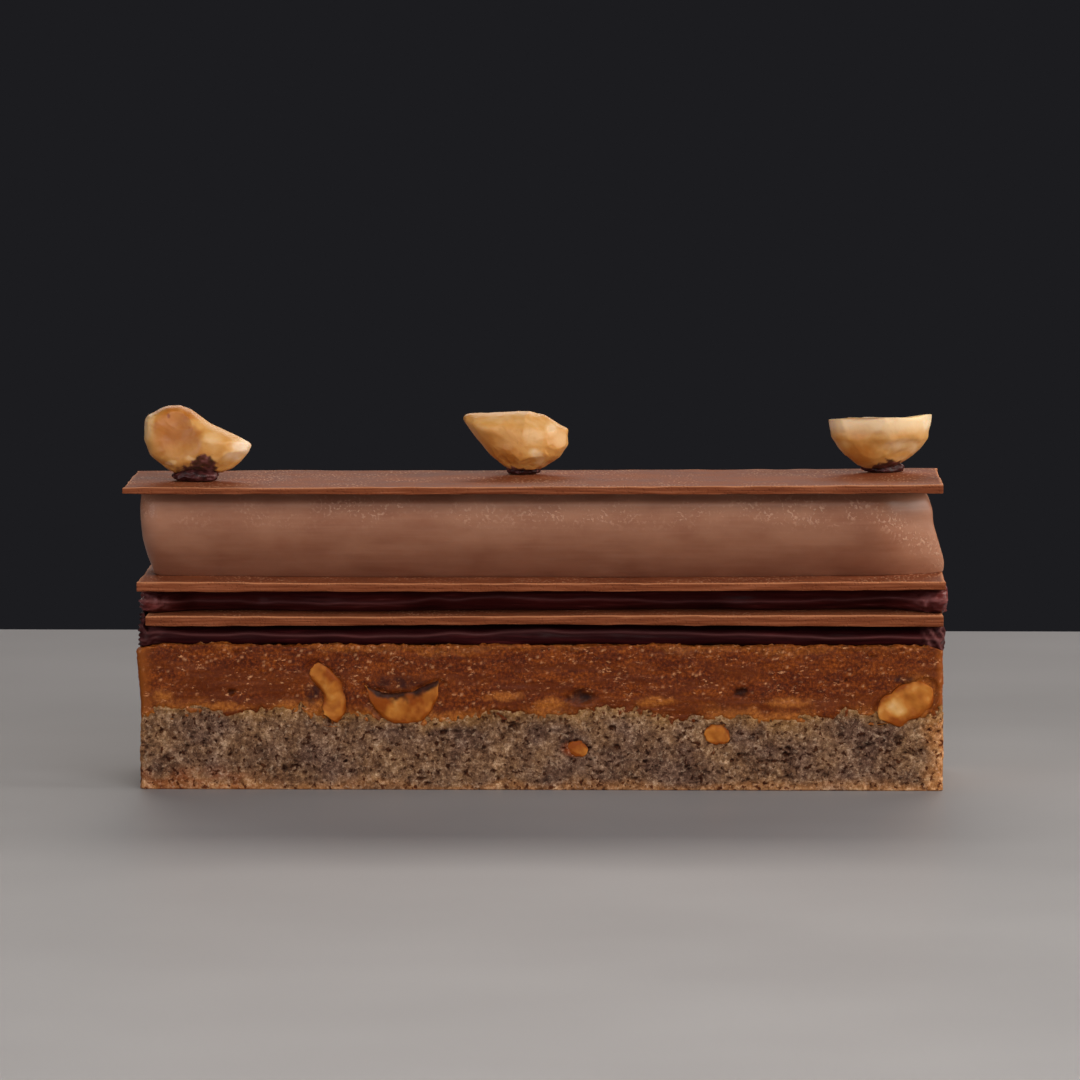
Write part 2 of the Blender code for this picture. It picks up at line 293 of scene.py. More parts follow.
def pralineShows(points):
    # 1 where the praline hides the sponge, 0 where the sponge shows: a torn, uneven line
    seam = seamAt(points[..., :2])
    torn = 1.7 * roughNoise(points, 1.8, 31) + 1.3 * roughNoise(points, 0.6, 35, 2)
    return fade((points[..., 2] - seam) / 0.7 + torn, -0.35, 0.35)


def pocketAround(gap):
    # Depth of the hollow in which a nut piece sits, from the distance to its edge
    return layers["pocketSink"] * (1 - fade(gap, -0.30, 0.15))


def roundedOutline(half, corner, count):
    # Points round a rounded rectangle, anticlockwise, and the way each one faces
    starts = (-90, 0, 90, 180)
    angles = np.radians(np.concatenate([np.linspace(a, a + 90, count) for a in starts]))
    facing = np.stack([np.cos(angles), np.sin(angles)], axis=1)
    side = np.repeat([[1, -1], [1, 1], [-1, 1], [-1, -1]], count, axis=0)
    return side * (np.array(half) - corner) + facing * corner, facing


def outlineOfBar(ends, corner, step):
    # The same round the bar, seen from above, with its points spread evenly
    points, facing = roundedOutline(((ends[1] - ends[0]) / 2, halfDepth), corner, 12)
    points = points + np.array([(ends[0] + ends[1]) / 2, 0.0])
    closed, faces = np.vstack([points, points[:1]]), np.vstack([facing, facing[:1]])
    along = np.append(0, np.cumsum(np.linalg.norm(np.diff(closed, axis=0), axis=1)))
    at = np.linspace(0, along[-1], int(along[-1] / step), endpoint=False)
    points = np.stack([np.interp(at, along, closed[:, n]) for n in (0, 1)], axis=1)
    facing = np.stack([np.interp(at, along, faces[:, n]) for n in (0, 1)], axis=1)
    return points, facing / np.linalg.norm(facing, axis=1, keepdims=True)


def blockRings(corner, step, lowAt, highAt, topMargin):
    # Rings for a cut block: a little of the underside, the four sides, then the top's margin
    ends = layers["blockEnds"]
    points, facing = outlineOfBar(ends, corner, step)
    middle = np.array([(ends[0] + ends[1]) / 2, 0.0])
    half = np.array([(ends[1] - ends[0]) / 2, halfDepth])
    low, high = lowAt(points), highAt(points)
    rounding = layers["rounding"]
    levels = [(topMargin, 0.0, 0.0), (rounding, 0.0, 0.0)]
    levels += [(0.0, s, 1.0) for s in np.linspace(0.012, 0.985, int((high - low).max() / step))]
    levels += [(rounding + inset, 1.0, 1.0) for inset in np.arange(0, topMargin, step * 1.3)]
    rings, faces = [], []
    for inset, share, weight in levels:
        flat = middle + (points - middle) * ((half - inset) / half)
        lowHere, highHere = (low, high) if inset == 0 else (lowAt(flat), highAt(flat))
        rings.append(np.column_stack([flat, lowHere + (highHere - lowHere) * share]))
        upward = 1.0 if inset > 0 and share == 1.0 else 0.0
        side = 0.6 if inset == rounding else 1.0 - upward
        faces.append(np.column_stack([facing * side, np.full(len(flat), upward)]) * weight)
    return np.array(rings), np.array(faces)


def pushOut(rings, faces, relief):
    # Relief along the way each point faces, kept inside the cut faces of the bar
    moved = rings + faces * relief[..., None]
    moved[..., 1] = np.clip(moved[..., 1], -halfDepth, halfDepth)
    moved[..., 2] = np.maximum(moved[..., 2], 0.0)
    return moved


# Nut pieces in the cut: each is a short rope along a spine on the front face. skinSide is the
# side that still has its brown skin, and core is a paler middle.

nutCuts = {
    "curl": {"node": "nut_inset_curl", "depth": 6.8, "tone": 0.23, "ragged": 0.0,
             "skinSide": -1.0, "skinFrom": 0.85},
    "halfMoon": {"node": "nut_inset_half", "depth": 5.8, "tone": 0.20, "ragged": 0.0,
                 "skinSide": 1.0, "skinFrom": 0.28},
    "corner": {"node": "nut_inset_corner", "depth": 4.8, "tone": 0.30, "ragged": 0.0,
               "middle": (50.2, 12.1), "radii": (4.1, 2.7), "tilt": 30.0,
               "core": (48.9, 11.3), "coreRadii": (2.2, 1.7)},
    "crumbCentre": {"node": "nut_crumb_centre", "depth": 1.7, "tone": 0.18, "ragged": 1.0,
                    "middle": (5.0, 5.8), "radii": (1.45, 1.0), "tilt": -20.0},
    "crumbRight": {"node": "nut_crumb_right", "depth": 2.1, "tone": 0.28, "ragged": 1.0,
                   "middle": (24.2, 7.7), "radii": (1.9, 1.4), "tilt": -15.0},
}
# spine of the curl from its upper tip: x, z and half width
curlSpine = ((-31.5, 17.1, 1.00), (-30.9, 16.6, 1.35), (-30.0, 15.6, 1.55), (-28.8, 14.3, 1.65),
             (-28.2, 12.9, 1.65), (-28.3, 11.5, 1.75), (-28.8, 10.5, 1.80), (-29.4, 10.0, 1.60))


def nutSpine(name):
    # Spine points (x, z), half widths, and the way across at each
    cut = nutCuts[name]
    if name == "curl":
        along = np.linspace(0, 1, 60)
        places = np.linspace(0, 1, len(curlSpine))
        x, z, width = (curveThrough(along, list(zip(places, row))) for row in zip(*curlSpine))
        spine = np.stack([x, z], axis=1)
        ahead = np.gradient(spine, axis=0)
        ahead = ahead / np.linalg.norm(ahead, axis=1, keepdims=True)
        across = np.stack([-ahead[:, 1], ahead[:, 0]], axis=1)
        return spine, width * np.clip(np.minimum(along, 1 - along) * 12, 0.3, 1) ** 0.5, across
    if name == "halfMoon":
        along = np.linspace(0.0, 1.0, 70)
        top = 14.5 - 1.35 * np.sin(np.pi * along) ** 0.9 + 0.75 * along
        bottom = 14.4 - 5.5 * np.clip(1 - np.abs(2 * along - 1.06) ** 2.3, 0, 1) ** 0.55
        bottom = np.minimum(bottom, top - 0.1)
        spine = np.stack([-24.2 + 10.1 * along, (top + bottom) / 2], axis=1)
        return spine, np.maximum((top - bottom) / 2, 0.12), np.tile([0.0, 1.0], (70, 1))
    along = np.linspace(-0.995, 0.995, 50)
    turn = math.radians(cut["tilt"])
    way = np.array([math.cos(turn), math.sin(turn)])
    spine = np.array(cut["middle"]) + cut["radii"][0] * along[:, None] * way
    bumpy = 1 + 0.07 * np.sin(along * 4.1 + cut["depth"]) + 0.05 * np.sin(along * 9.7 + 1.0)
    width = cut["radii"][1] * np.clip(1 - along ** 2, 0.004, 1) ** 0.5 * np.minimum(bumpy, 1.08)
    return spine, width, np.tile([-way[1], way[0]], (50, 1))


def gapToNuts(points):
    # How far each point of the cut face is from the nearest nut piece, less than 0 inside one
    gap = np.full(points.shape[:-1], 9.0)
    front = points[..., 1] < -halfDepth + 0.9
    flat = points[front][:, [0, 2]]
    nearest = np.full(len(flat), 9.0)
    for name in nutCuts:
        spine, width, across = nutSpine(name)
        for centre, reach in zip(spine, width):
            nearest = np.minimum(nearest, np.linalg.norm(flat - centre, axis=1) - reach)
    gap[front] = nearest + 0.55 * roughNoise(points[front], 1.1, 15)
    return gap


# Sponge: hazelnut sponge cut with a knife, so its crumb is open and pored

sponge = {
    "step": 0.2,                           # mesh spacing, fine enough for single pores
    "corner": 0.9,
    "poreDepth": 0.65,
    "crumbHeight": 0.13,
    "crumb": ("#3E2518", "#6E4C34", "#96704F", "#DEBA94"),
    "mauveCrumb": ("#2A1915", "#53392E", "#75574A", "#AE9280"),
    # painted highlight on single crumb grains
    "paintedGrainHighlight": "#DCC0A2",
    "poreShade": "#8A6650",
    # baked crust, painted paler on the right end as painted light from the right
    "toastedAndSideLit": ("#7A441C", "#C4844C", "#FFCE9A"),
    "soaked": ("#683F1E", "#976C3E", "#C69A66"),
    "stain": "#8A3A0C",
}


def spongeMaterial():
    # Baked nut sponge: dull, dry crumb round dark pores, golden where it met the tin
    material, tree, place = startMaterial("bakedHazelnutSponge")
    # Crumb clumps of about 2 mm that break down to grains
    grain = addNode(tree, "TexNoise", {
        "Scale": 1 / (2.0 * mm), "Detail": 6.0, "Roughness": 0.88, "Vector": place})
    ramps = {}
    for name in ("crumb", "mauveCrumb", "toastedAndSideLit", "soaked"):
        stops = evenStops(0.33, 0.68, sponge[name])
        ramps[name] = addNode(tree, "ValToRGB", {"Fac": grain, "stops": stops})
    # Moister patches about 7 mm wide
    moist = unevenPattern(tree, place, 7.0, ((0.41, 0.0), (0.58, 0.8)))
    pore = addNode(tree, "Attribute", {"attribute_name": "pore"}).outputs["Fac"]
    poreShade = addNode(tree, "ValToRGB", {
        "Fac": pore, "stops": ((0.05, 1.0), (0.7, sponge["poreShade"]))})
    # Bubbles of about 0.3 mm in the crumb walls
    bubbleStops = ((0.34, sponge["poreShade"]), (0.42, 1.0))
    bubbleShade = unevenPattern(tree, place, 0.75, bubbleStops, 2.0)
    # Single grains of crumb 0.3 mm wide, with painted shade between them and a painted
    # highlight on some
    crisp = addNode(tree, "TexNoise", {
        "Scale": 1 / (0.6 * mm), "Detail": 5.0, "Roughness": 0.8, "Vector": place})
    crispShade = addNode(tree, "ValToRGB", {"Fac": crisp, "stops": ((0.34, 0.56), (0.58, 1.0))})
    crispLight = addNode(tree, "ValToRGB", {"Fac": crisp, "stops": ((0.53, 0.0), (0.72, 0.55))})
    colour = layCoats(tree, ramps["crumb"], (
        (moist, ramps["mauveCrumb"]), ("crust", ramps["toastedAndSideLit"]), ("soak", ramps["soaked"]),
        ("stain", sponge["stain"]), (crispLight, sponge["paintedGrainHighlight"]),
        ("shade", poreShade), ("shade", bubbleShade), ("shade", crispShade)))
    fine = addNode(tree, "TexNoise", {
        "Scale": 1 / (0.3 * mm), "Detail": 4.0, "Roughness": 0.7, "Vector": place})
    normal = addNode(tree, "Bump", {"Distance": 0.14 * mm, "Strength": 1.0, "Height": fine})
    return finishMaterial(material, {
        "Base Color": colour, "Roughness": 0.9, "Specular IOR Level": 0.15,
        "Subsurface Weight": 0.10, "Subsurface Radius": (1.0, 0.45, 0.25),
        "Subsurface Scale": 0.5 * mm, "Normal": normal})


def makeSponge():
    rings, faces = blockRings(sponge["corner"], sponge["step"],
                              lambda flat: np.zeros(len(flat)),
                              lambda flat: seamAt(flat) + 1.3, 1.4)
    x, y, z = np.moveaxis(rings, -1, 0)
    # Pores are wider than they are tall, and their edges are torn, not round
    warped = rings * (1.0, 1.0, 1.6)
    bend = np.stack([softNoise(rings, 0.8, n) for n in (1, 2, 3)], axis=-1)
    warped = warped + 0.28 * bend
    # Open pores come in groups, with closer crumb between them
    group = 0.16 * softNoise(warped, 5.0, 21)
    holes = hollows(warped, 2.4, 0.20, 0.52, 3)
    holes = np.maximum(holes, 0.85 * hollows(warped, 1.0, 0.30, 0.28, 5))
    torn = fade(-roughNoise(warped, 1.3, 13) + group, 0.32, 0.60)
    fine = fade(-roughNoise(warped, 0.55, 17, 2) + group, 0.26, 0.66)
    pore = np.clip(0.9 * holes + 0.6 * torn + 0.4 * fine, 0, 1)
    relief = sponge["crumbHeight"] * roughNoise(rings, 0.7, 23) - sponge["poreDepth"] * pore
    relief += 0.12 * softNoise(rings, 6.0, 19) - 0.12
    seam = seamAt(rings[..., :2])
    relief -= layers["seamSink"] * pralineShows(rings) + pocketAround(gapToNuts(rings))
    rings = pushOut(rings, faces, relief * (0.25 + 0.75 * fade(z, 0.0, 0.35)))
    ends = layers["blockEnds"]
    patch = roughNoise(rings, 5.0, 29, 3)
    bottom = 1 - fade(z + 1.7 * patch, 0.3, 1.9)
    # The right end: baked crust, with painted light from the right on top
    right = fade(x + 1.2 * patch, ends[1] - 3.4, ends[1] - 0.8)
    corner = 0.8 * fade(-x + 3.0 * patch, 33.0, 44.0) * (1 - fade(z + 1.4 * patch, 1.2, 3.4))
    left = 0.7 * fade(-x + 0.8 * patch, -ends[0] - 1.2, -ends[0] + 0.1)
    crust = bottom * (0.6 + 0.6 * patch) + right + left + 0.25 * corner
    crust = np.clip(crust, 0, 1) * (0.9 + 0.1 * fine)
    soak = 0.85 * fade(z - seam + 1.0 * roughNoise(rings, 1.6, 37) + 0.9 * patch, -1.9, 0.5)
    stain = softMark(x, z, (4.6, 5.7), (2.3, 1.4)) * (y < 0)
    stain = np.maximum(stain, corner * np.clip(0.35 + 0.8 * roughNoise(rings, 1.0, 25), 0, 0.6))
    mesh = skinMesh("spongeCrumb", rings, {"pore": pore, "crust": crust, "soak": soak,
                                           "stain": stain})
    return makePiece("spongeCrumb", mesh, spongeMaterial(), "sponge_base")


# Praline: dense hazelnut praline paste, cut and slightly smeared by the knife

praline = {
    "step": 0.2,
    "corner": 1.1,
    "crumbSpacing": 0.62,
    # Marks on the front cut: centre x and z, then half sizes
    "cavities": (((-42.6, 13.4), (0.8, 0.6)), ((5.6, 12.9), (2.5, 1.3)),
                 ((27.6, 13.6), (1.1, 0.9))),
    "darkSkin": (((-31.2, 13.4), (2.3, 2.0)), ((49.8, 15.3), (1.7, 1.0)),
                 ((5.6, 12.9), (2.0, 0.9)), ((-19.2, 14.7), (4.9, 1.2)),
                 ((27.6, 13.6), (1.3, 0.9))),
    "golden": (((-51.9, 13.0), (1.9, 1.2)), ((-34.6, 11.1), (3.0, 1.6)),
               ((-30.4, 11.9), (0.8, 0.8)),
               ((-44.0, 11.4), (6.0, 0.8)), ((-5.0, 12.9), (3.4, 0.9)),
               ((1.5, 12.0), (2.8, 1.0)), ((16.0, 12.3), (3.6, 0.8)),
               ((34.0, 12.1), (4.0, 0.9)), ((51.9, 13.4), (2.9, 3.6))),
    "paste": ("#381102", "#592004", "#863D0E"),
    "warmPaste": ("#5A2205", "#7C3808", "#A85A1A"),
    "smooth": "#5E2707",
    "gold": ("#7C3C0C", "#BE7430"),
    "endGlow": "#8E4A12",
    "skin": "#22080A",
    # pale sugar and nut specks, also used for painted glints
    "sugarAndGlint": "#D89A6A",
}


def pralineMaterial():
    # Roasted nut and sugar paste: red brown, oily where the knife smeared it, with glints
    material, tree, place = startMaterial("roastedHazelnutPraline")
    # Grains about 0.4 mm, and bands 3.5 mm long that the knife drew out sideways
    grain = addNode(tree, "TexNoise", {
        "Scale": 1 / (0.45 * mm), "Detail": 4.0, "Roughness": 0.7, "Vector": place})
    ramps = {}
    for name in ("paste", "warmPaste", "gold"):
        stops = evenStops(0.34, 0.68, praline[name])
        ramps[name] = addNode(tree, "ValToRGB", {"Fac": grain, "stops": stops})
    drawnOut = addNode(tree, "Mapping", {"Scale": (1.0, 1.0, 3.4), "Vector": place})
    bands = unevenPattern(tree, drawnOut, 4.5, ((0.42, 0.0), (0.64, 0.85)), 4.0, 0.6)
    # Sugar and nut specks about 0.2 mm wide, painted pale partly as painted glints, drawn a
    # little coarser than real to show
    slanted = addNode(tree, "Mapping", {
        "Rotation": (0.0, math.radians(-35), 0.0), "Scale": (0.55, 1.0, 1.2), "Vector": place})
    sugarAndGlint = unevenPattern(tree, slanted, 0.50, ((0.585, 0.0), (0.68, 0.8)), 3.0, 0.75)
    sugarArea = unevenPattern(tree, place, 1.7, ((0.44, 0.0), (0.6, 1.0)))
    sugarAndGlint = layCoats(tree, sugarAndGlint, (("shade", sugarArea),))
    smear = addNode(tree, "Attribute", {"attribute_name": "smear"}).outputs["Fac"]
    calm = addNode(tree, "ValToRGB", {"Fac": smear, "stops": ((0.0, 0.1), (1.0, 0.65))})
    rough = addNode(tree, "ValToRGB", {"Fac": smear, "stops": ((0.0, 0.62), (1.0, 0.42))})
    # painted shade in cavities, pits and round the nut pieces
    cavity = addNode(tree, "Attribute", {"attribute_name": "cavity"}).outputs["Fac"]
    shade = addNode(tree, "ValToRGB", {"Fac": cavity, "stops": ((0.1, 1.0), (0.9, 0.45))})
    colour = layCoats(tree, ramps["paste"], (
        (bands, ramps["warmPaste"]), (calm, praline["smooth"]), ("soaked", ramps["gold"]),
        ("golden", ramps["gold"]), ("endGlow", praline["endGlow"]), (sugarAndGlint, praline["sugarAndGlint"]),
        ("glint", praline["sugarAndGlint"]), ("skin", praline["skin"]), ("shade", shade)))
    fine = addNode(tree, "TexNoise", {
        "Scale": 1 / (0.24 * mm), "Detail": 4.0, "Roughness": 0.7, "Vector": place})
    normal = addNode(tree, "Bump", {"Distance": 0.07 * mm, "Strength": 0.8, "Height": fine})
    return finishMaterial(material, {
        "Base Color": colour, "Roughness": rough, "Specular IOR Level": 0.14,
        "Subsurface Weight": 0.12, "Subsurface Radius": (1.0, 0.35, 0.12),
        "Subsurface Scale": 0.7 * mm, "Normal": normal})


def makePraline():
    rings, faces = blockRings(praline["corner"], praline["step"],
                              lambda flat: seamAt(flat) - 1.2, pralineTopAt, 2.6)
    x, y, z = np.moveaxis(rings, -1, 0)
    seam = seamAt(rings[..., :2])
    height = z - seam
    smear = fade(roughNoise(rings, (9.0, 9.0, 1.3), 41, 2) - 0.35 * (height - 4.5) / 4.5,
                 -0.15, 0.35)
    distance, pick = specks(rings, praline["crumbSpacing"], 43)
    crumb = np.where(pick > 0.35, np.clip(1 - distance / 0.34, 0, 1), 0)
    grainy = (1 - 0.8 * smear) * (crumb + 0.6 * roughNoise(rings, 0.5, 47, 2))
    relief = 0.11 * grainy + 0.12 * softNoise(rings, 2.6, 53) - 0.16
    relief += 0.05 * smear * softNoise(rings, (7.0, 7.0, 0.5), 59)
    atTop = fade(height, 8.2, 9.2)
    relief += 0.35 * atTop * roughNoise(rings, 0.9, 61)
    pits = hollows(rings * (1, 1, 1.4), 3.0, 0.18, 0.42, 67)
    relief -= 0.35 * pits + layers["seamSink"] * (1 - pralineShows(rings))
    front = y < -halfDepth + 1.0
    ragged = 0.5 * roughNoise(rings, 0.9, 71)
    drawn = {}
    for name in ("cavities", "darkSkin", "golden"):
        drawn[name] = np.zeros(x.shape)
        for centre, radii in praline[name]:
            shape = softMark(x + 1.6 * ragged, z + ragged, centre, radii) * front
            drawn[name] = np.maximum(drawn[name], shape)
    relief -= 0.5 * drawn["cavities"]
    gap = gapToNuts(rings)
    relief -= pocketAround(gap)
    rings = pushOut(rings, faces, relief)
    rings[..., 2] += 0.30 * atTop * roughNoise(rings, 0.9, 63)
    # The upper left corner was pressed outwards a little
    rings[..., 0] -= 0.45 * fade(-x, 53.0, 55.2) * fade(height, 1.0, 8.5)
    patch = fade(softNoise(rings, 5.0, 75), -0.6, 0.5)
    soaked = 0.9 * patch * (1 - fade(height + 1.3 * roughNoise(rings, 1.4, 73), 0.0, 2.0))
    soaked = np.maximum(soaked, 0.35 * fade(height + 0.7 * roughNoise(rings, 1.1, 76), 8.5, 9.3))
    # Painted glints on single grains
    glint = np.where(pick > 0.80, np.clip(1 - distance / 0.24, 0, 1), 0) * (1 - smear)
    # Painted light: both ends paler, as lit from the sides
    glow = 0.8 * fade(np.abs(x - 0.3) + 0.6 * ragged, 53.4, 55.0)
    # Painted shade: a dark line round each nut piece
    contactShade = 0.15 * (1 - fade(np.abs(gap), 0.0, 0.5))
    skin = drawn["darkSkin"] * np.clip(0.55 + 0.6 * softNoise(rings, 0.7, 64), 0, 0.85)
    marks = {"cavity": np.clip(drawn["cavities"] + 0.7 * pits + contactShade, 0, 1), "skin": skin,
             "golden": 0.8 * drawn["golden"], "glint": glint, "smear": smear,
             "soaked": soaked, "endGlow": glow}
    mesh = skinMesh("pralineLayer", rings, marks)
    return makePiece("pralineLayer", mesh, pralineMaterial(), "praline_layer")


# Thin sheets: tempered milk chocolate, spread thin, cut with a warm knife

sheets = {
    "bevel": 0.16,
    # profile rows are x, the height of the underside and the height of the top
    "lower": {"node": "sheet_lower", "ends": (-54.3, 55.2), "spacing": 0.7, "seed": 4,
              "profile": ((-54.3, 22.50, 23.95), (-46.7, 22.50, 23.95), (-26.2, 22.62, 23.80),
                          (0.0, 22.88, 24.08), (21.8, 22.72, 24.18), (49.2, 22.62, 24.20),
                          (55.2, 22.62, 24.20))},
    "middle": {"node": "sheet_middle", "ends": (-55.5, 55.5), "spacing": 0.7, "seed": 21,
               "profile": ((-55.5, 27.25, 28.65), (-46.7, 27.25, 28.62), (-26.2, 27.30, 28.45),
                           (0.0, 27.40, 28.50), (21.8, 27.50, 28.55), (49.2, 27.68, 28.85),
                           (55.5, 27.70, 28.88))},
    "top": {"node": "sheet_top", "ends": (-57.4, 55.1), "spacing": 0.5, "seed": 36,
            "profile": ((-57.4, 40.72, 41.56), (-30.0, 40.68, 41.66), (0.0, 40.75, 41.78),
                        (30.0, 40.80, 41.92), (55.1, 41.00, 42.20))},
    "face": ((0.36, "#68331C"), (0.52, "#7B4126"), (0.70, "#925538")),
    "topFace": ("#783F27", "#8C4F32"),
    # painted highlight on the rims of the pits
    "pitHighlight": "#C89474",
    # painted highlight along the top of the cut sides
    "edge": "#BE7E58",
}


def sheetLow(name, x):
    return curveThrough(x, [(row[0], row[1]) for row in sheets[name]["profile"]])


def sheetHigh(name, x):
    return curveThrough(x, [(row[0], row[2]) for row in sheets[name]["profile"]])


def sheetMaterial():
    # Tempered milk chocolate: satin, with fine pits on top and drag lines on the cut sides
    material, tree, place = startMaterial("temperedMilkChocolate")
    cloudy = addNode(tree, "TexNoise", {"Scale": 1 / (5.0 * mm), "Detail": 3.0, "Vector": place})
    topStops = evenStops(0.35, 0.65, sheets["topFace"])
    topColour = addNode(tree, "ValToRGB", {"Fac": cloudy, "stops": topStops})
    rough = addNode(tree, "ValToRGB", {"Fac": cloudy, "stops": ((0.3, 0.52), (0.7, 0.66))})
    # Pits as left by the film that the chocolate set on, 0.5 mm apart, with a painted highlight
    # on their rims. They are coarser than real and drawn out from front to back, so that they
    # show from the side.
    longer = addNode(tree, "Mapping", {"Scale": (1.0, 0.4, 1.0), "Vector": place})
    pits = addNode(tree, "TexVoronoi", {"Scale": 1 / (0.50 * mm), "Vector": longer})
    pitHighlightShare = addNode(tree, "ValToRGB", {"Fac": pits, "stops": ((0.20, 0.9), (0.38, 0.0))})
    pitted = addNode(tree, "ValToRGB", {"Fac": pits, "stops": ((0.1, 0.0), (0.4, 1.0))})
    pitArea = unevenPattern(tree, place, 9.0, ((0.42, 0.15), (0.6, 1.0)), 2.0)
    pitHighlightShare = layCoats(tree, pitHighlightShare, (("shade", pitArea),))
    # Drag lines: 0.25 mm apart up the side, long along it
    flat = addNode(tree, "Mapping", {"Scale": (0.12, 0.12, 4.0), "Vector": place})
    drag = addNode(tree, "TexNoise", {
        "Scale": 1 / (1.0 * mm), "Detail": 3.0, "Roughness": 0.6, "Vector": flat})
    sideColour = addNode(tree, "ValToRGB", {"Fac": drag, "stops": sheets["face"]})
    colour = layCoats(tree, topColour, ((pitHighlightShare, sheets["pitHighlight"]), ("cutSide", sideColour),
                                        ("edgeWear", sheets["edge"])))
    first = addNode(tree, "Bump", {"Distance": 0.09 * mm, "Strength": 0.8, "Height": pitted})
    normal = addNode(tree, "Bump", {
        "Distance": 0.05 * mm, "Strength": 0.5, "Height": drag, "Normal": first})
    return finishMaterial(material, {
        "Base Color": colour, "Roughness": rough, "Specular IOR Level": 0.07,
        "Subsurface Weight": 0.06, "Subsurface Radius": (1.0, 0.4, 0.2),
        "Subsurface Scale": 0.4 * mm, "Normal": normal})


def makeSheet(name, material):
    size = sheets[name]
    ends, spacing, seed = size["ends"], size["spacing"], size["seed"]
    length = ends[1] - ends[0]
    form = bmesh.new()
    bmesh.ops.create_grid(form, x_segments=int(length / spacing),
                          y_segments=int(2 * halfDepth / spacing), size=0.5)
    bmesh.ops.scale(form, vec=(length, 2 * halfDepth, 1), verts=form.verts)
    raised = bmesh.ops.extrude_face_region(form, geom=form.faces[:])
    upper = [v for v in raised["geom"] if isinstance(v, bmesh.types.BMVert)]
    bmesh.ops.translate(form, vec=(0, 0, 1), verts=upper)
    uprights = [e for e in form.edges if abs(e.verts[0].co.z - e.verts[1].co.z) > 0.5]
    bmesh.ops.subdivide_edges(form, edges=uprights, cuts=4, use_grid_fill=True)
    rim = [e for e in form.edges
           if len(e.link_faces) == 2 and e.calc_face_angle(0) > math.radians(60)]
    bmesh.ops.bevel(form, geom=rim, offset=sheets["bevel"], segments=2, profile=0.6,
                    affect="EDGES")
    bmesh.ops.recalc_face_normals(form, faces=form.faces)
    points = np.array([v.co[:] for v in form.verts])
    points[:, 0] += (ends[0] + ends[1]) / 2
    up = points[:, 2].copy()
    points[:, 2] = sheetLow(name, points[:, 0]) * (1 - up) + sheetHigh(name, points[:, 0]) * up
    inward = np.minimum(np.minimum(points[:, 0] - ends[0], ends[1] - points[:, 0]),
                        halfDepth - np.abs(points[:, 1]))
    atRim = 1 - fade(inward, 0.05, 0.5)
    flat = points * (1, 1, 0)
    points[:, 2] += 0.05 * softNoise(flat, 9.0, seed) * up
    points[:, 2] += 0.07 * atRim * softNoise(flat, 3.0, seed + 1) * np.where(up > 0.5, 1, -1)
    wander = 0.13 * softNoise(flat, 11.0, seed + 2) + 0.06 * softNoise(flat, 2.4, seed + 3)
    drag = 0.04 * softNoise(points, (6.0, 6.0, 0.22), seed + 4)
    moved = np.minimum(wander + drag - 0.10, 0.0) * atRim
    onFront = np.abs(points[:, 1]) > halfDepth - 0.6
    points[:, 1] += np.where(onFront, np.sign(points[:, 1]) * moved, 0)
    points[:, 0] += np.where(onFront, 0, np.sign(points[:, 0]) * moved)
    chipped = scattered(points, 5.5, 0.6, 0.9, seed + 5) * atRim
    points[:, 2] -= 0.18 * chipped * (up > 0.8)
    for vert, point in zip(form.verts, points):
        vert.co = Vector(point) * mm
    mesh = bpy.data.meshes.new(name + "Sheet")
    form.to_mesh(mesh)
    form.free()
    # Painted highlight: a pale line along the top edge of each cut side
    addMark(mesh, "edgeWear", np.exp(-((1 - up) / 0.11) ** 2) * (1 - fade(inward, 0.12, 0.42)))
    addMark(mesh, "cutSide", 1 - fade(inward, 0.1, 0.3))
    return makePiece(name + "Sheet", mesh, material, size["node"],
                     smoothAngle=50)


# Ropes: what was piped between the sheets

def ropePlaces(start, end, spacing, cap, squareness):
    # Places of rings along a rope, and how far each is drawn in: rounded over the cap at both
    # ends, then closed by a flat face of smaller and smaller rings
    turn = np.radians(np.linspace(0, 90, 8))
    face = np.linspace(0.06, 0.94, 14) * squareness
    shrink = np.concatenate([face, squareness + (1 - squareness) * np.sin(turn)])
    near = np.concatenate([0 * face, cap * (1 - np.cos(turn))])
    middle = np.linspace(start + cap, end - cap, int((end - start - 2 * cap) / spacing))[1:-1]
    places = np.concatenate([start + near, middle, end - near[::-1]])
    return places, np.concatenate([shrink, 0 * middle + 1, shrink[::-1]])[:, None]


def ropeRings(places, sideCount, flatCount):
    # Grids of x, of the share of the height and of the share across, front first, for a
    # rope whose sides take most of the points
    rise = np.linspace(0, 1, sideCount)
    across = np.linspace(1, -1, flatCount + 2)[1:-1]
    lift = np.concatenate([rise, np.ones(flatCount), rise[::-1], np.zeros(flatCount)])
    side = np.concatenate([np.ones(sideCount), across, -np.ones(sideCount), -across])
    x, lift = np.meshgrid(places, lift, indexing="ij")
    return x, lift, np.broadcast_to(side, x.shape)


cream = {
    "ends": (-55.0, 55.0),
    "spacing": 0.28,
    "bite": 0.06,                          # how far it reaches into the sheets
    "foot": 5.4,                           # half width where it rests on the middle sheet
    "side": 11.2,                          # half width at its widest
    "cap": 2.6,
    "squareness": 0.78,
    # Where each end stands, by height
    "leftEnd": ((28.5, -53.7), (29.6, -53.9), (31.0, -54.4), (34.0, -55.1), (38.0, -55.4),
                (40.8, -55.2)),
    "rightEnd": ((28.5, 55.3), (30.3, 55.7), (33.0, 54.9), (36.4, 53.9), (38.1, 54.0),
                 (39.2, 53.4), (40.9, 52.2)),
    "colours": ("#936149", "#A47359"),
    "streak": "#B08068",
    "glint": "#CEA286",
}


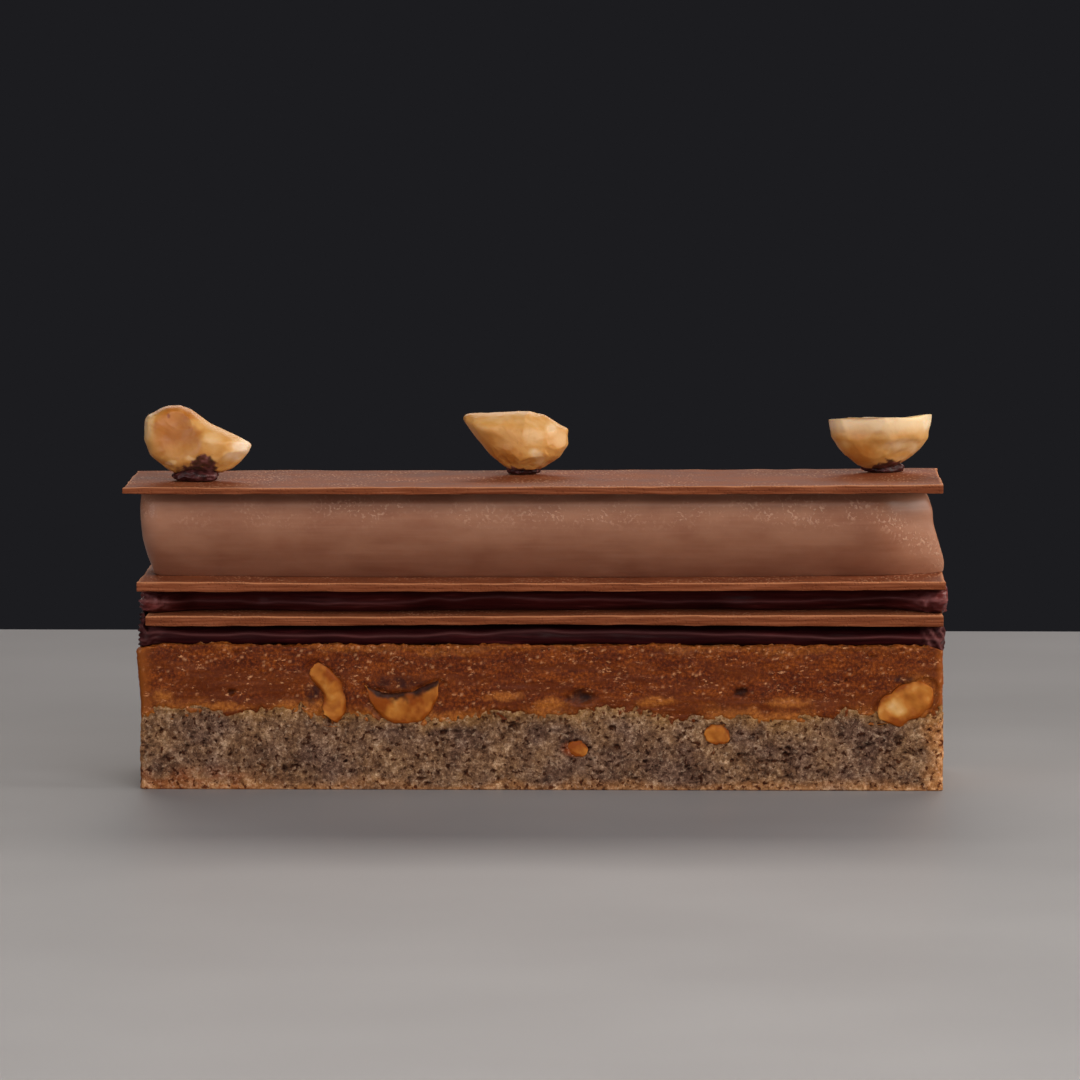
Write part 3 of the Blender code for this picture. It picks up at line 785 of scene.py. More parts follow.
def creamMaterial():
    # Whipped milk chocolate ganache: smooth and fatty, so it has a soft broad sheen
    material, tree, place = startMaterial("whippedMilkChocolateCream")
    soft = addNode(tree, "Mapping", {"Scale": (1.0, 1.0, 1.8), "Vector": place})
    colour = unevenPattern(tree, soft, 7.0, evenStops(0.35, 0.65, cream["colours"]))
    long = addNode(tree, "Mapping", {"Scale": (0.10, 0.10, 2.6), "Vector": place})
    streaks = addNode(tree, "TexNoise", {
        "Scale": 1 / (1.2 * mm), "Detail": 3.0, "Roughness": 0.6, "Vector": long})
    streakShare = addNode(tree, "ValToRGB", {"Fac": streaks, "stops": ((0.45, 0.0), (0.75, 0.25))})
    # Burst bubbles 0.2 to 0.4 mm wide with a painted highlight on their rims, drawn a little
    # too pale
    bubbly = addNode(tree, "Attribute", {"attribute_name": "bubbly"}).outputs["Fac"]
    dots = unevenPattern(tree, place, 0.45, ((0.54, 0.0), (0.64, 0.7)), 2.0)
    clumps = unevenPattern(tree, place, 2.0, ((0.38, 0.1), (0.55, 1.0)), 2.0)
    dots = layCoats(tree, dots, (("shade", clumps), ("shade", bubbly)))
    colour = layCoats(tree, colour, ((streakShare, cream["streak"]), (dots, cream["glint"])))
    fine = addNode(tree, "TexNoise", {"Scale": 1 / (0.5 * mm), "Detail": 3.0, "Vector": place})
    dimpled = addNode(tree, "Bump", {"Distance": 0.10 * mm, "Strength": 0.8, "Height": dots})
    first = addNode(tree, "Bump", {
        "Distance": 0.03 * mm, "Strength": 0.5, "Height": fine, "Normal": dimpled})
    normal = addNode(tree, "Bump", {
        "Distance": 0.04 * mm, "Strength": 0.35, "Height": streaks, "Normal": first})
    return finishMaterial(material, {
        "Base Color": colour, "Roughness": 0.40, "Specular IOR Level": 0.35,
        "Subsurface Weight": 0.15, "Subsurface Radius": (1.0, 0.5, 0.3),
        "Subsurface Scale": 1.0 * mm, "Normal": normal})


def makeCream():
    start, end = cream["ends"]
    places, shrink = ropePlaces(start, end, cream["spacing"], cream["cap"],
                                cream["squareness"])
    x, lift, across = ropeRings(places, 50, 14)
    low = sheetHigh("middle", x) - cream["bite"]
    high = sheetLow("top", x) + cream["bite"]
    rising = np.clip(lift / 0.75, 0, 1)
    width = cream["foot"] + (cream["side"] - cream["foot"]) * (1 - (1 - rising) ** 1.9)
    width = width - 0.9 * fade(lift, 0.84, 1.0)
    taper = 1 - 0.42 * fade(x, 43.0, 55.5) ** 1.5 * (across > 0) - 0.12 * fade(x, 46, 55)
    y = -(width * shrink * taper * across + 0.12 * np.sin(x * 0.12))
    z = low + (high - low) * lift
    middle = (low + high) / 2
    z = middle + (z - middle) * np.interp(shrink, (0, cream["squareness"], 1), (0, 0.93, 1))
    leftShift = curveThrough(z, cream["leftEnd"]) - start
    rightShift = curveThrough(z, cream["rightEnd"]) - end
    x = x + leftShift * (1 - fade(x, start, start + 9)) + rightShift * fade(x, end - 9, end)
    rings = np.stack([x, y, z], axis=-1)
    # Tiny burst bubbles with painted highlights: a band below the top sheet that runs down the
    # right corner
    bandHeight = 38.2 - 6.5 * fade(x, 45.0, 55.5)
    band = np.exp(-((z - bandHeight) / 1.8) ** 2)
    density = fade(roughNoise(rings, 8.0, 85, 2) + 0.5 * fade(x, 22.0, 36.0), -0.30, 0.35)
    side = np.abs(across) == 1.0
    relief = 0.05 * softNoise(rings, (12.0, 12.0, 2.2), 87)
    relief += 0.015 * softNoise(rings, (5.0, 5.0, 0.35), 89) * (1 - fade(lift, 0.25, 0.6))
    rings[..., 1] -= across * relief * side * shrink
    mesh = skinMesh("pipedCream", rings, {"bubbly": band * density})
    return makePiece("pipedCream", mesh, creamMaterial(), "cream_bar")


ganache = {
    "spacing": 0.3,
    "upperEnds": (-55.2, 55.6),
    "lowerEnds": (-55.3, 55.4),
    # painted light: the upper copy is lighter against the shade it sits in, the lower darker
    "upper": ((0.35, "#421413"), (0.6, "#602522"), (0.75, "#8C4A47")),
    "lower": ((0.35, "#1E0507"), (0.6, "#2C0B0D"), (0.75, "#46191A")),
    "bite": 0.05,                          # how far it reaches into the sheets it holds
    "limits": {"upper": (-55.6, 55.85), "lower": (-55.7, 55.8)},
    "halfWidth": 14.6,
    "foldTop": 24.1,                       # height of the ribs past the lower sheet's left end
    # torn ends painted paler, and painted highlights on ridges and fold crests
    "tornAndHighlightPaint": "#8A5654",
    "shine": {"upper": 0.12, "lower": 0.05},
}


def ganacheMaterial(name):
    # Dark chocolate ganache: nearly black, wet looking, with fine drawn lines
    material, tree, place = startMaterial(name + "DarkGanache")
    long = addNode(tree, "Mapping", {"Scale": (0.15, 0.4, 2.5), "Vector": place})
    drawn = addNode(tree, "TexNoise", {
        "Scale": 1 / (1.4 * mm), "Detail": 3.0, "Roughness": 0.6, "Vector": long})
    colour = addNode(tree, "ValToRGB", {"Fac": drawn, "stops": ganache[name]})
    colour = layCoats(tree, colour, (("torn", ganache["tornAndHighlightPaint"]),))
    normal = addNode(tree, "Bump", {"Distance": 0.12 * mm, "Strength": 0.8, "Height": drawn})
    return finishMaterial(material, {
        "Base Color": colour, "Roughness": 0.40, "Specular IOR Level": ganache["shine"][name],
        "Normal": normal})


def makeUpperGanache(material):
    start, end = ganache["upperEnds"]
    places, shrink = ropePlaces(start, end, ganache["spacing"], 1.0, 0.75)
    x, lift, across = ropeRings(places, 22, 24)
    low = sheetHigh("lower", x) - ganache["bite"]
    high = sheetLow("middle", x) + ganache["bite"]
    middle = (low + high) / 2
    atEnd = fade(np.abs(x), 47.0, 55.0)
    along = np.stack([x, 0 * x, 0 * x], axis=-1)
    bulge = 1.9 * np.sin(np.pi * lift) ** 0.7
    wander = 0.5 * np.sin(x * 0.23 + 0.5) + 0.5 * softNoise(along, 5.0, 91)
    y = -(6.0 + bulge + wander) * across * (1 + 0.65 * atEnd) * shrink
    z = middle + (high - low) * (lift - 0.5) * shrink
    rings = np.stack([x, y, z], axis=-1)
    torn = roughNoise(rings, (1.3, 1.3, 0.8), 93) + 0.8 * roughNoise(rings, 0.6, 92, 2)
    torn = torn * fade(np.abs(x), 50.0, 53.0)
    ridgeAt = 0.45 + 0.10 * np.sin(x * 0.11 + 2.0) + 0.06 * softNoise(along, 3.0, 94)
    ridge = np.exp(-((lift - ridgeAt) / 0.07) ** 2)
    relief = (0.8 * torn + 0.30 * ridge + 0.10 * softNoise(rings, 1.8, 95)) * shrink
    rings[..., 1] -= np.sign(across) * relief * (np.abs(across) == 1.0)
    rings[..., 0] += 0.6 * torn * np.sign(x) * fade(np.abs(x), 53.0, 55.0)
    # A tongue that was squeezed out past the right end
    tongue = fade(x, 53.2, 55.2) * fade(-rings[..., 1], -1.0, 6.0)
    rings[..., 0] += 0.3 * tongue
    rings[..., 0] = np.clip(rings[..., 0], *ganache["limits"]["upper"])
    # Torn ends painted paler, and a painted highlight along the ridge
    paint = np.clip(0.9 * np.abs(torn) + 0.5 * ridge, 0, 1)
    mesh = skinMesh("upperGanache", rings, {"torn": paint})
    return makePiece("upperGanache", mesh, material, "ganache_upper")


def makeLowerGanache(material):
    start, end = ganache["lowerEnds"]
    places, shrink = ropePlaces(start, end, ganache["spacing"], 0.7, 0.85)
    x, lift, across = ropeRings(places, 22, 24)
    flat = np.stack([np.clip(x, *layers["blockEnds"]), 0 * x], axis=-1)
    drip = fade(x, 54.35, 54.8)
    low = (pralineTopAt(flat) - 0.12) * (1 - drip) + (layers["pralineTop"] - 0.60) * drip
    # Past the sheet's left end the ganache was pushed up in small ribs
    wrap = fade(-x, 54.3, 54.8)
    high = (sheetLow("lower", x) + ganache["bite"]) * (1 - wrap) + ganache["foldTop"] * wrap
    along = np.stack([x, 0 * x, 0 * x], axis=-1)
    bulge = 0.9 * np.sin(np.pi * lift) ** 0.7 + 1.3 * (1 - lift)
    y = -(11.6 + bulge + 0.3 * softNoise(along, 6.0, 97)) * across * shrink
    middle = (low + high) / 2
    z = middle + (high - low) * (lift - 0.5) * shrink
    rings = np.stack([x, y, z], axis=-1)
    torn = roughNoise(rings, (1.8, 1.8, 0.8), 99) * fade(np.abs(x), 51.0, 53.5)
    folds = np.sin(x * 4.6 + z * 2.0 + 2 * softNoise(rings, 2.0, 96)) * fade(x, 51.8, 53.4)
    ridgeAt = 0.52 + 0.12 * np.sin(x * 0.09 + 0.7) + 0.08 * softNoise(along, 4.0, 98)
    ridge = np.exp(-((lift - ridgeAt) / 0.08) ** 2)
    relief = (0.45 * torn + 0.20 * ridge + 0.08 * softNoise(rings, 1.7, 101)) * shrink
    relief += 0.30 * folds * shrink + 0.9 * fade(x, 51.8, 53.4) * shrink
    rings[..., 1] -= np.sign(across) * relief * (np.abs(across) == 1.0)
    ribs = 0.16 * np.sin(z * 9.5 + rings[..., 1] * 0.3) * fade(-x, 54.4, 55.0)
    rings[..., 0] += 0.4 * torn * np.sign(x) * fade(np.abs(x), 53.5, 55.0) - ribs
    rings[..., 0] = np.clip(rings[..., 0], *ganache["limits"]["lower"])
    rings[..., 1] = np.clip(rings[..., 1], -ganache["halfWidth"], ganache["halfWidth"])
    # Torn ends painted paler, and painted highlights on the ridge and fold crests
    paint = np.clip(0.6 * np.abs(torn) + 0.22 * ridge + 0.4 * np.clip(folds, 0, 1), 0, 1)
    mesh = skinMesh("lowerGanache", rings, {"torn": paint})
    return makePiece("lowerGanache", mesh, material, "ganache_lower")


# Hazelnuts: roasted kernels, broken, so they are waxy, pale at the breaks and translucent

kernels = {
    # outline: x and z of the silhouette round the middle, as seen from the front
    # tones: centre, half sizes, and how pale the flesh is there, from 0 amber to 1 ivory; the
    # darker marks low on the left are partly painted shade
    "left": {
        "middle": (-49.0, -3.0, 47.4),
        "outline": ((-6.19, -0.14), (-6.18, 2.64), (-5.76, 3.33), (-3.95, 4.31), (-2.84, 4.72),
                    (-1.18, 4.73), (0.48, 4.04), (2.97, 2.24), (5.04, 1.27), (7.12, 0.3),
                    (8.85, -0.70), (8.45, -1.65), (7.4, -3.0), (6.1, -4.1), (4.6, -4.7),
                    (-1.91, -4.7), (-3.29, -4.02), (-5.37, -2.22)),
        "depths": (4.0, 5.2),
        "facets": (5, 3, 0.93),
        "hollow": {"at": (-1.6, 0.9), "reach": (4.0, 4.2), "depth": 1.5},
        "tones": (((-1.6, 0.4), (6.2, 6.0), 0.36), ((-1.4, 1.8), (4.4, 4.0), 0.26),
                  ((-5.5, 1.8), (1.3, 2.6), 0.72), ((2.2, 2.2), (2.6, 1.1), 0.52),
                  ((3.4, 0.6), (2.2, 1.0), 0.64), ((4.9, -0.9), (1.7, 1.1), 0.50),
                  ((7.6, -0.9), (1.9, 1.7), 0.90), ((6.2, -2.2), (1.9, 1.1), 0.80),
                  ((0.4, -2.4), (1.0, 0.5), 0.75), ((-2.3, -3.0), (1.0, 0.5), 0.70),
                  ((-2.8, 3.4), (0.45, 0.45), 0.0)),
        "smear": (((1.6, -4.2), (3.6, 1.4)), ((2.2, -3.2), (2.4, 1.7))),
    },
    "centre": {
        "middle": (-3.5, 7.0, 46.1),
        "outline": ((-7.78, 3.36), (-7.78, 3.78), (-7.36, 4.2), (-2.62, 4.49), (1.57, 4.63),
                    (3.66, 4.08), (5.75, 2.68), (6.9, 2.05), (6.85, 1.1), (7.0, -0.11),
                    (5.75, -1.79), (3.66, -3.19), (1.98, -4.03), (-0.53, -4.04), (-2.2, -3.06),
                    (-4.01, -1.53), (-6.1, 0.99)),
        "depths": (4.4, 4.8),
        "facets": (7, 8, 0.92),
        "hollow": {"at": (-3.5, 0.6), "reach": (3.0, 2.0), "depth": 0.5},
        "tones": (((-3.4, 0.4), (3.6, 2.0), 0.40), ((-1.8, -1.6), (3.4, 1.9), 0.32),
                  ((4.6, 2.2), (1.3, 1.2), 0.80), ((5.8, 0.8), (1.3, 1.5), 0.62),
                  ((2.2, 1.3), (2.1, 1.8), 0.64), ((2.4, -1.2), (1.3, 1.0), 0.78),
                  ((2.8, -2.3), (1.0, 0.9), 0.68), ((-3.0, 3.4), (4.5, 0.8), 0.62)),
        "smear": (((-0.7, -4.1), (3.2, 1.3)),),
    },
    "flesh": ((0.05, "#8A430E"), (0.3, "#B5702A"), (0.5, "#CD9650"), (0.7, "#DCB27C"),
              (0.92, "#F0DAC0")),
    "sunk": 0.75,
    # painted rim light round the kernels, and the pale split edge of the bowl
    "rim": "#F0D6AC",
    "smearPaint": ("#260A0B", "#52242A", "#86585C"),
    "skinPaint": ("#160503", "#2C0F08", "#54281A"),
}
bowl = {
    "middle": (46.9, 7.6, 49.5),
    "half": (7.15, 5.6),
    "deep": 7.3,
    "dish": 1.9,
    "facets": (10, 5, 0.93),
    "tones": (((-2.7, -4.6), (3.4, 2.2), 0.32), ((-3.2, -1.8), (2.0, 1.6), 0.42),
              ((2.6, -3.2), (2.8, 1.5), 0.74), ((4.5, -3.7), (1.0, 1.3), 0.70),
              ((3.2, -0.4), (3.8, 1.1), 0.58), ((6.5, -0.2), (0.9, 1.4), 0.88)),
    "smear": (((0.9, -6.7), (3.4, 1.4)),),
}


def kernelMaterial(name, skinColours, shine):
    # Roasted kernel: waxy amber to ivory flesh that lets light through at thin edges
    material, tree, place = startMaterial(name)
    veins = addNode(tree, "TexNoise", {"Scale": 1 / (1.6 * mm), "Detail": 3.0, "Vector": place})
    uneven = addNode(tree, "MapRange", {"Value": veins, "From Min": 0.3, "From Max": 0.7,
                                        "To Min": -0.05, "To Max": 0.05})
    mark = addNode(tree, "Attribute", {"attribute_name": "tone"}).outputs["Fac"]
    tone = addNode(tree, "Math", {"operation": "ADD", 0: mark, 1: uneven})
    colour = addNode(tree, "ValToRGB", {"Fac": tone, "stops": kernels["flesh"]})
    skin = unevenPattern(tree, place, 0.9, evenStops(0.35, 0.75, skinColours))
    colour = layCoats(tree, colour, (("rim", kernels["rim"]), ("smear", skin)))
    rough = addNode(tree, "ValToRGB", {"Fac": veins, "stops": ((0.3, 0.42), (0.7, 0.56))})
    fine = addNode(tree, "TexNoise", {"Scale": 1 / (0.6 * mm), "Detail": 4.0, "Vector": place})
    normal = addNode(tree, "Bump", {"Distance": 0.06 * mm, "Strength": 0.5, "Height": fine})
    return finishMaterial(material, {
        "Base Color": colour, "Roughness": rough, "Specular IOR Level": shine,
        "Subsurface Weight": 0.25, "Subsurface Radius": (1.0, 0.55, 0.22),
        "Subsurface Scale": 1.2 * mm, "Normal": normal})


def outlineRadius(points, angle):
    # Radius of a closed outline at each angle, its corners rounded a little
    corners = np.array(points)
    share = np.linspace(0, 1, 16, endpoint=False)[None, :, None]
    edges = corners[:, None] * (1 - share) + np.roll(corners, -1, axis=0)[:, None] * share
    x, z = edges.reshape(-1, 2).T
    order = np.argsort(np.arctan2(z, x))
    at = np.arctan2(z, x)[order]
    radius = np.tile(np.hypot(x, z)[order], 3)
    at = np.concatenate([at - 2 * np.pi, at, at + 2 * np.pi])
    nudges = np.radians((-1.5, 0, 1.5))
    return sum(np.interp(angle + n, at, radius) for n in nudges) / len(nudges)


def breakFaces(points, count, seed, share):
    # Flat broken faces: what stands beyond each plane is pressed back almost to it
    index = np.arange(count)
    turn = index * 2.4 + seed
    picks = np.stack([index, index + 3, index * 2], axis=-1)
    tilt = 0.50 + 0.47 * latticeRandom(picks, seed)
    for n in index:
        flat = math.sqrt(1 - tilt[n] ** 2)
        forward = tilt[n] * (-1 if n % 3 else 1)
        way = np.array([math.cos(turn[n]) * flat, forward, math.sin(turn[n]) * flat])
        reach = points @ way
        beyond = np.clip(reach - share * reach.max(), 0, None)
        points = points - 0.92 * beyond[..., None] * way
    return points


def fleshMarks(points, middle, settings, rim):
    # Tone of the flesh, partly painted shade, and the chocolate smeared up it, from marks drawn
    # on the front. The back takes the same tones, softened.
    x, z = points[..., 0] - middle[0], points[..., 2] - middle[2]
    ragged = 0.50 * roughNoise(points, 1.3, 77)
    bent = 0.50 * roughNoise(points, 1.3, 76)
    tone = 0.5 + 0.06 * softNoise(points, 2.0, 78)
    tone += 0.05 * softNoise(points, (5.0, 5.0, 0.7), 74)
    for centre, radii, value in settings["tones"]:
        share = softMark(x + ragged, z + bent, centre, radii)
        share = share * np.where(points[..., 1] < middle[1] + 0.5, 0.9, 0.5)
        tone = tone * (1 - share) + value * share
    smear = np.zeros(x.shape)
    for centre, radii in settings["smear"]:
        smear = np.maximum(smear, softMark(x + ragged, z + bent, centre, radii))
    strokes = roughNoise(points, (0.7, 0.7, 1.1), 79) * (smear > 0)
    smear = 0.94 * fade(smear + 0.8 * strokes, 0.22, 0.60)
    return {"tone": tone, "rim": rim * (1 - smear), "smear": smear}


def footHeight(node):
    # Where a kernel is cut off flat, a little inside the dab that holds it
    return nodeBox(node)[0][2] - kernels["sunk"]


def makeKernel(name, material):
    settings = kernels[name]
    node = "hazelnut_" + name
    floor = footHeight(node)
    lat, turn = roundGrid(np.linspace(-88, 88, 100), 240)
    radius = outlineRadius(settings["outline"], turn) * np.cos(lat) ** 0.75
    front, back = settings["depths"]
    depth = np.where(lat > 0, -front, back) * signedPower(np.abs(np.sin(lat)), 1.1)
    points = np.stack([np.cos(turn) * radius, depth, np.sin(turn) * radius], axis=-1)
    inside = fade(np.abs(np.sin(lat)), 0.0, 0.4)[..., None]
    points = points * (1 - inside) + breakFaces(points, *settings["facets"]) * inside
    dent = settings["hollow"]
    away = np.hypot((points[..., 0] - dent["at"][0]) / dent["reach"][0],
                    (points[..., 2] - dent["at"][1]) / dent["reach"][1])
    hollow = (1 - fade(away, 0.15, 1.1)) * (lat > 0)
    points[..., 1] += dent["depth"] * hollow
    seed = len(name)
    outward = points / np.linalg.norm(points, axis=-1, keepdims=True)
    chips = scattered(points, 2.0, 0.5, 1.0, seed + 5)
    relief = 0.10 * softNoise(points, 2.6, seed) + 0.05 * roughNoise(points, 0.7, seed + 3)
    relief = (relief - 0.16 * np.sqrt(chips)) * (1 - 0.8 * hollow) - 0.04
    points = points + outward * relief[..., None] + np.array(settings["middle"])
    points[..., 2] = np.maximum(points[..., 2], floor)
    # Painted rim light round the kernel's edge, in patches
    rim = 0.35 * (1 - fade(np.abs(np.sin(lat)), 0.0, 0.2))
    rim = rim * fade(softNoise(points, 3.0, 6), 0, 0.4)
    marks = fleshMarks(points, settings["middle"], settings, rim)
    mesh = skinMesh(name + "Kernel", points[::-1], {m: v[::-1] for m, v in marks.items()})
    return makePiece(name + "Kernel", mesh, material, node, smoothAngle=45)


def makeBowl(material):
    node = "hazelnut_right"
    floor = footHeight(node)
    lat, turn = roundGrid(np.concatenate([np.linspace(-88, 0, 64), np.linspace(2, 88, 34)]), 170)
    under = lat <= 0
    edge = np.where(under, np.cos(lat) ** 1.3, np.cos(lat) ** 0.9)
    side, inward = np.cos(turn) * edge, np.sin(turn) * edge
    rise = np.where(under, -np.abs(np.sin(lat)) * bowl["deep"],
                    -bowl["dish"] * fade(1 - edge, 0.08, 0.95) - 0.10 * (1 - edge))
    # The split face leans back, its right end rises to a tip and its left end is chipped
    lean = fade(rise, -3.0, 0.0)
    rise = rise + (0.15 - 0.55 * inward + 0.55 * fade(side, 0.35, 1.0)) * lean
    rise = rise + (0.25 - 0.4 * fade(-side, 0.60, 0.68)) * fade(-side, 0.5, 0.95) * lean
    points = np.stack([side * bowl["half"][0] - 0.5 * (1 - edge) * under,
                       inward * bowl["half"][1], rise], axis=-1)
    points = np.where(under[..., None], breakFaces(points, *bowl["facets"]), points)
    outward = np.stack([side, inward, np.where(under, rise / bowl["deep"], 0.3)], axis=-1)
    outward = outward / np.maximum(np.linalg.norm(outward, axis=-1, keepdims=True), 0.05)
    chips = scattered(points, 2.1, 0.5, 1.1, 7)
    relief = 0.10 * softNoise(points, (3.4, 3.4, 1.6), 5) + 0.04 * roughNoise(points, 0.8, 9)
    relief += 0.12 * np.exp(-((rise + 2.4) / 0.5) ** 2) - 0.12 * np.sqrt(chips) - 0.05
    points = points + outward * (relief * np.where(under, 1.0, 0.5))[..., None]
    points = points + np.array(bowl["middle"])
    points[..., 2] = np.maximum(points[..., 2], floor)
    rim = 0.85 * np.exp(-((1 - edge) / 0.035) ** 2)
    mesh = skinMesh("rightKernel", points, fleshMarks(points, bowl["middle"], bowl, rim))
    return makePiece("rightKernel", mesh, material, node, smoothAngle=45)


def makeNutCut(name, material):
    cut = nutCuts[name]
    spine, width, acrossWay = nutSpine(name)
    turn = np.linspace(0, 2 * np.pi, 64, endpoint=False)
    share = signedPower(np.cos(turn), 0.62)[None, :]
    inward = (0.5 - 0.5 * signedPower(np.sin(turn), 0.12))[None, :] * cut["depth"]
    x = spine[:, :1] + acrossWay[:, :1] * share * width[:, None]
    z = spine[:, 1:] + acrossWay[:, 1:] * share * width[:, None]
    points = np.stack([x, -halfDepth + inward + 0 * x, z], axis=-1)
    front = 1 - fade(inward + 0 * x, 0.3, 1.6)
    for axis, seed in ((0, 6), (2, 8)):
        points[..., axis] += 0.30 * roughNoise(points, 1.5, seed)
        points[..., axis] += 0.18 * roughNoise(points, 0.6, seed + 1, 2) * cut["ragged"]
    relief = 0.18 * softNoise(points, 1.7, len(name)) + 0.08 * roughNoise(points, 0.6, 3)
    points[..., 1] = np.maximum(points[..., 1] + (relief + 0.12) * front, -halfDepth)
    dark = 0 * x
    if "skinSide" in cut:
        skinned = share * cut["skinSide"] + 0.5 * roughNoise(points, 1.2, 7)
        dark = fade(skinned, cut["skinFrom"], cut["skinFrom"] + 0.5)
    tone = cut["tone"] + 0.34 * roughNoise(points, 2.2, 5) + 0.16 * roughNoise(points, 0.8, 9)
    tone = tone - 0.24 * fade(np.abs(share), 0.5, 1.0)
    if "core" in cut:
        tone = tone + 0.32 * softMark(x, z, cut["core"], cut["coreRadii"]) - 0.08
    marks = {"tone": tone, "rim": 0 * x, "smear": 0.95 * dark}
    mesh = skinMesh(name + "Cut", points, marks)
    return makePiece(name + "Cut", mesh, material, cut["node"])


# Dabs of dark chocolate that hold the kernels

dabs = {
    "left": {"middle": (-48.0, -3.0), "half": (3.6, 3.0), "seed": 11},
    "centre": {"middle": (-3.1, 7.6), "half": (2.5, 2.2), "seed": 12},
    "right": {"middle": (47.4, 8.2), "half": (2.8, 2.3), "seed": 13},
    "bite": 0.08,                          # how far each reaches into the top sheet
    "lift": 0.25,                          # how far each reaches up the side of its kernel
    # the palest stop is a painted highlight on the raised folds
    "colours": ((0.35, "#240B0C"), (0.6, "#48201F"), (0.78, "#86595A")),
}


def dabMaterial():
    # Dark chocolate that set in folds: deep brown, with a painted highlight on the raised folds
    material, tree, place = startMaterial("setDarkChocolate")
    folds = addNode(tree, "TexNoise", {"Scale": 1 / (0.8 * mm), "Detail": 3.0, "Vector": place})
    colour = addNode(tree, "ValToRGB", {"Fac": folds, "stops": dabs["colours"]})
    normal = addNode(tree, "Bump", {"Distance": 0.12 * mm, "Strength": 0.7, "Height": folds})
    return finishMaterial(material, {"Base Color": colour, "Roughness": 0.46,
                                     "Specular IOR Level": 0.30, "Normal": normal})


def makeDab(name, material):
    settings = dabs[name]
    node = "chocolate_dot_" + name
    bottom = sheetHigh("top", settings["middle"][0]) - dabs["bite"]
    thick = nodeBox(node)[1][2] - bottom + dabs["lift"]
    lat, turn = roundGrid(np.linspace(-84, 84, 26), 84)
    around = np.stack([np.cos(turn), np.sin(turn), 0 * turn], axis=-1)
    lobes = 1 + 0.20 * softNoise(around, 0.6, settings["seed"])
    out = 0.92 * np.cos(lat) ** 0.62 * lobes
    points = np.stack([settings["middle"][0] + np.cos(turn) * settings["half"][0] * out,
                       settings["middle"][1] + np.sin(turn) * settings["half"][1] * out,
                       bottom + thick * (0.5 + 0.5 * signedPower(np.sin(lat), 0.8))], axis=-1)
    crease = roughNoise(points, (0.9, 0.9, 0.5), settings["seed"] + 1)
    upper = fade(points[..., 2], bottom + 0.05, bottom + 0.4)
    points = points + around * (0.50 * crease * upper)[..., None]
    points[..., 2] += 0.30 * softNoise(points, 1.3, settings["seed"] + 2) * upper
    mesh = skinMesh(name + "Dab", points)
    return makePiece(name + "Dab", mesh, material, node)


print("making the base")
makeSponge()
makePraline()
print("making the layers")
milkChocolate = sheetMaterial()
makeLowerGanache(ganacheMaterial("lower"))
makeSheet("lower", milkChocolate)
makeUpperGanache(ganacheMaterial("upper"))
makeSheet("middle", milkChocolate)
makeCream()
makeSheet("top", milkChocolate)
print("making the nuts")
nutFlesh = kernelMaterial("roastedHazelnutKernel", kernels["smearPaint"], 0.42)
cutFlesh = kernelMaterial("cutHazelnutInPraline", kernels["skinPaint"], 0.12)
darkChocolate = dabMaterial()
for name in nutCuts:
    makeNutCut(name, cutFlesh)
for name in ("left", "centre", "right"):
    makeDab(name, darkChocolate)
makeKernel("left", nutFlesh)
makeKernel("centre", nutFlesh)
makeBowl(nutFlesh)


# Studio: a pale board in a dim room, lit by soft boxes

studio = {
    "room": ("#1C1C1F", 1.0),
    # where it stands and what it faces in mm, its size in mm, its power in watts, its colour
    "lights": {
        "key": ((230, -700, 450), (0, 0, 25), (560, 380), 4.75, "#FFF9F2"),
        "fill": ((-560, -620, 160), (0, 0, 25), (420, 300), 1.85, "#FAF8FF"),
        "side": ((560, -60, 260), (40, 0, 34), (300, 420), 2.6, "#FFF6EC"),
        "rim": ((40, 520, 380), (0, 0, 46), (800, 160), 2.3, "#FFF4EA"),
    },
    "board": {"half": 400.0, "behind": 213.0, "thick": 18.0, "corner": 26.0, "bevel": 1.5,
              "paint": ((0.3, "#828387"), (0.7, "#8C8D91"))},
}


def boardMaterial():
    # Matt painted board: pale and nearly even, with a slight satin
    material, tree, place = startMaterial("paleStudioBoard")
    colour = unevenPattern(tree, place, 60.0, studio["board"]["paint"], 2.0)
    return finishMaterial(material, {"Base Color": colour, "Roughness": 0.45,
                                     "Specular IOR Level": 0.35})


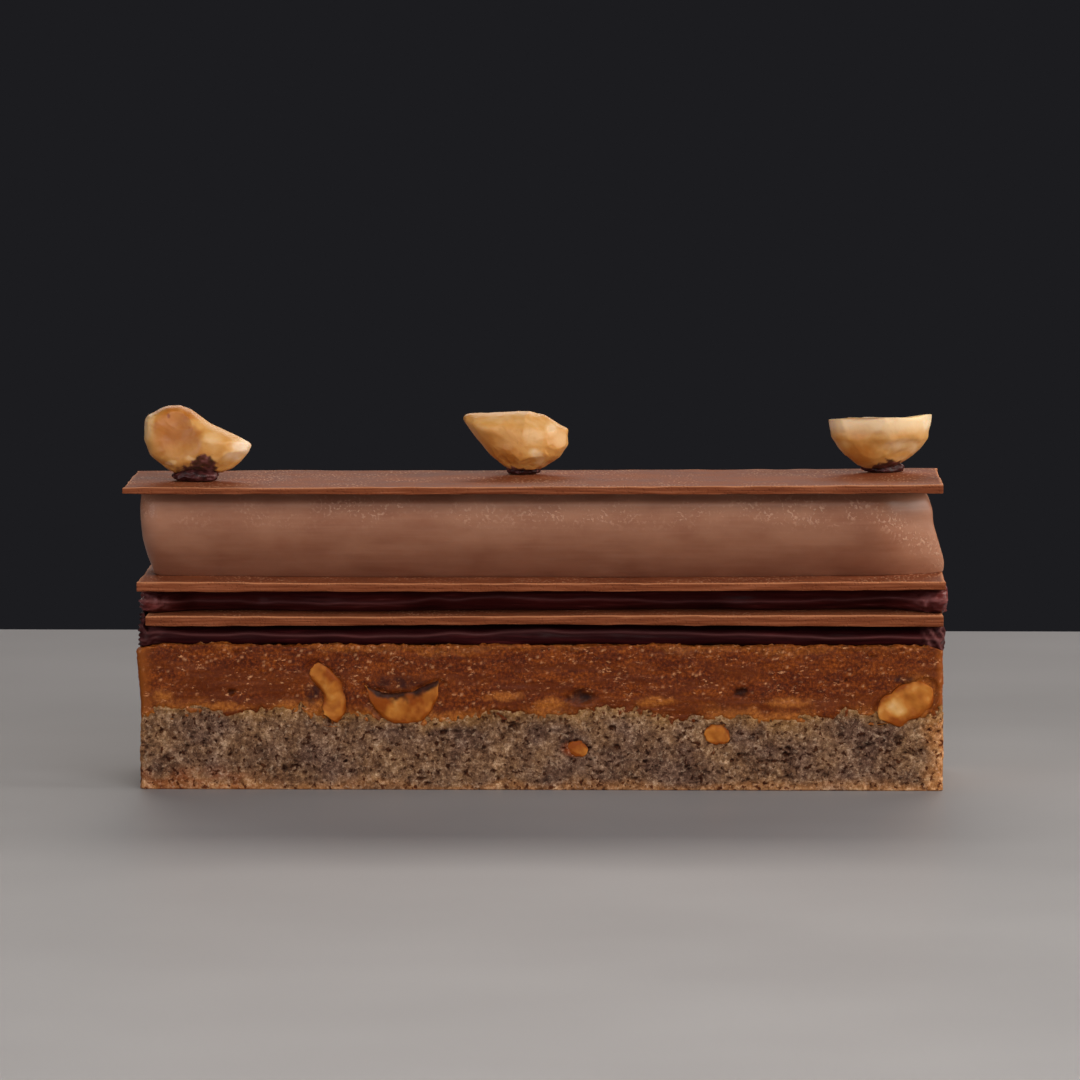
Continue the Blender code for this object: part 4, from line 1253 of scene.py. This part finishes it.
def makeBoard():
    size = studio["board"]
    rim = roundedOutline((size["half"], size["half"]), size["corner"], 10)[0]
    rim[:, 1] += size["behind"] - size["half"]
    form = bmesh.new()
    top = form.faces.new([form.verts.new((x * mm, y * mm, 0.0)) for x, y in rim])
    lower = bmesh.ops.extrude_face_region(form, geom=[top])["geom"]
    lower = [v for v in lower if isinstance(v, bmesh.types.BMVert)]
    bmesh.ops.translate(form, vec=(0, 0, -size["thick"] * mm), verts=lower)
    edges = [e for e in form.edges if all(abs(v.co.z) < 1e-9 for v in e.verts)]
    bmesh.ops.bevel(form, geom=edges, offset=size["bevel"] * mm, segments=3, profile=0.5,
                    affect="EDGES")
    bmesh.ops.recalc_face_normals(form, faces=form.faces)
    mesh = bpy.data.meshes.new("studioBoard")
    form.to_mesh(mesh)
    form.free()
    mesh.materials.append(boardMaterial())
    board = addObject("studioBoard", mesh)


def aimFrom(thing, at, aim):
    # Stand a lamp or the camera somewhere, given in mm, and turn it to what it looks at
    thing.location = Vector(at) * mm
    thing.rotation_euler = (Vector(aim) - Vector(at)).to_track_quat("-Z", "Y").to_euler()


def addLight(name, at, facing, size, power, colour):
    light = bpy.data.lights.new(name, "AREA")
    light.shape = "RECTANGLE"
    light.size, light.size_y = size[0] * mm, size[1] * mm
    light.energy = power
    light.color = linear(colour)[:3]
    aimFrom(addObject(name, light), at, facing)


def setStage():
    scene = bpy.context.scene
    world = bpy.data.worlds.new("studioRoom")
    world.use_nodes = True
    background = world.node_tree.nodes["Background"]
    background.inputs["Color"].default_value = linear(studio["room"][0])
    background.inputs["Strength"].default_value = studio["room"][1]
    scene.world = world
    scene.view_settings.view_transform = "Standard"
    for name, settings in studio["lights"].items():
        addLight(name + "Light", *settings)
    makeBoard()


camera = {
    "at": (23.4, -1134.8, 131.0),          # mm, slightly above and to the right of the front
    "aim": (-0.1, -15.0, 34.5),
    "lens": 273.5,
    "sensor": 36,
    "clip": (0.05, 20),                    # metres
}


def addCamera():
    lens = bpy.data.cameras.new("frontCamera")
    lens.lens = camera["lens"]
    lens.sensor_width = camera["sensor"]
    lens.clip_start, lens.clip_end = camera["clip"]
    viewer = addObject("frontCamera", lens)
    aimFrom(viewer, camera["at"], camera["aim"])
    bpy.context.scene.camera = viewer


print("setting the lights and camera")
setStage()
addCamera()
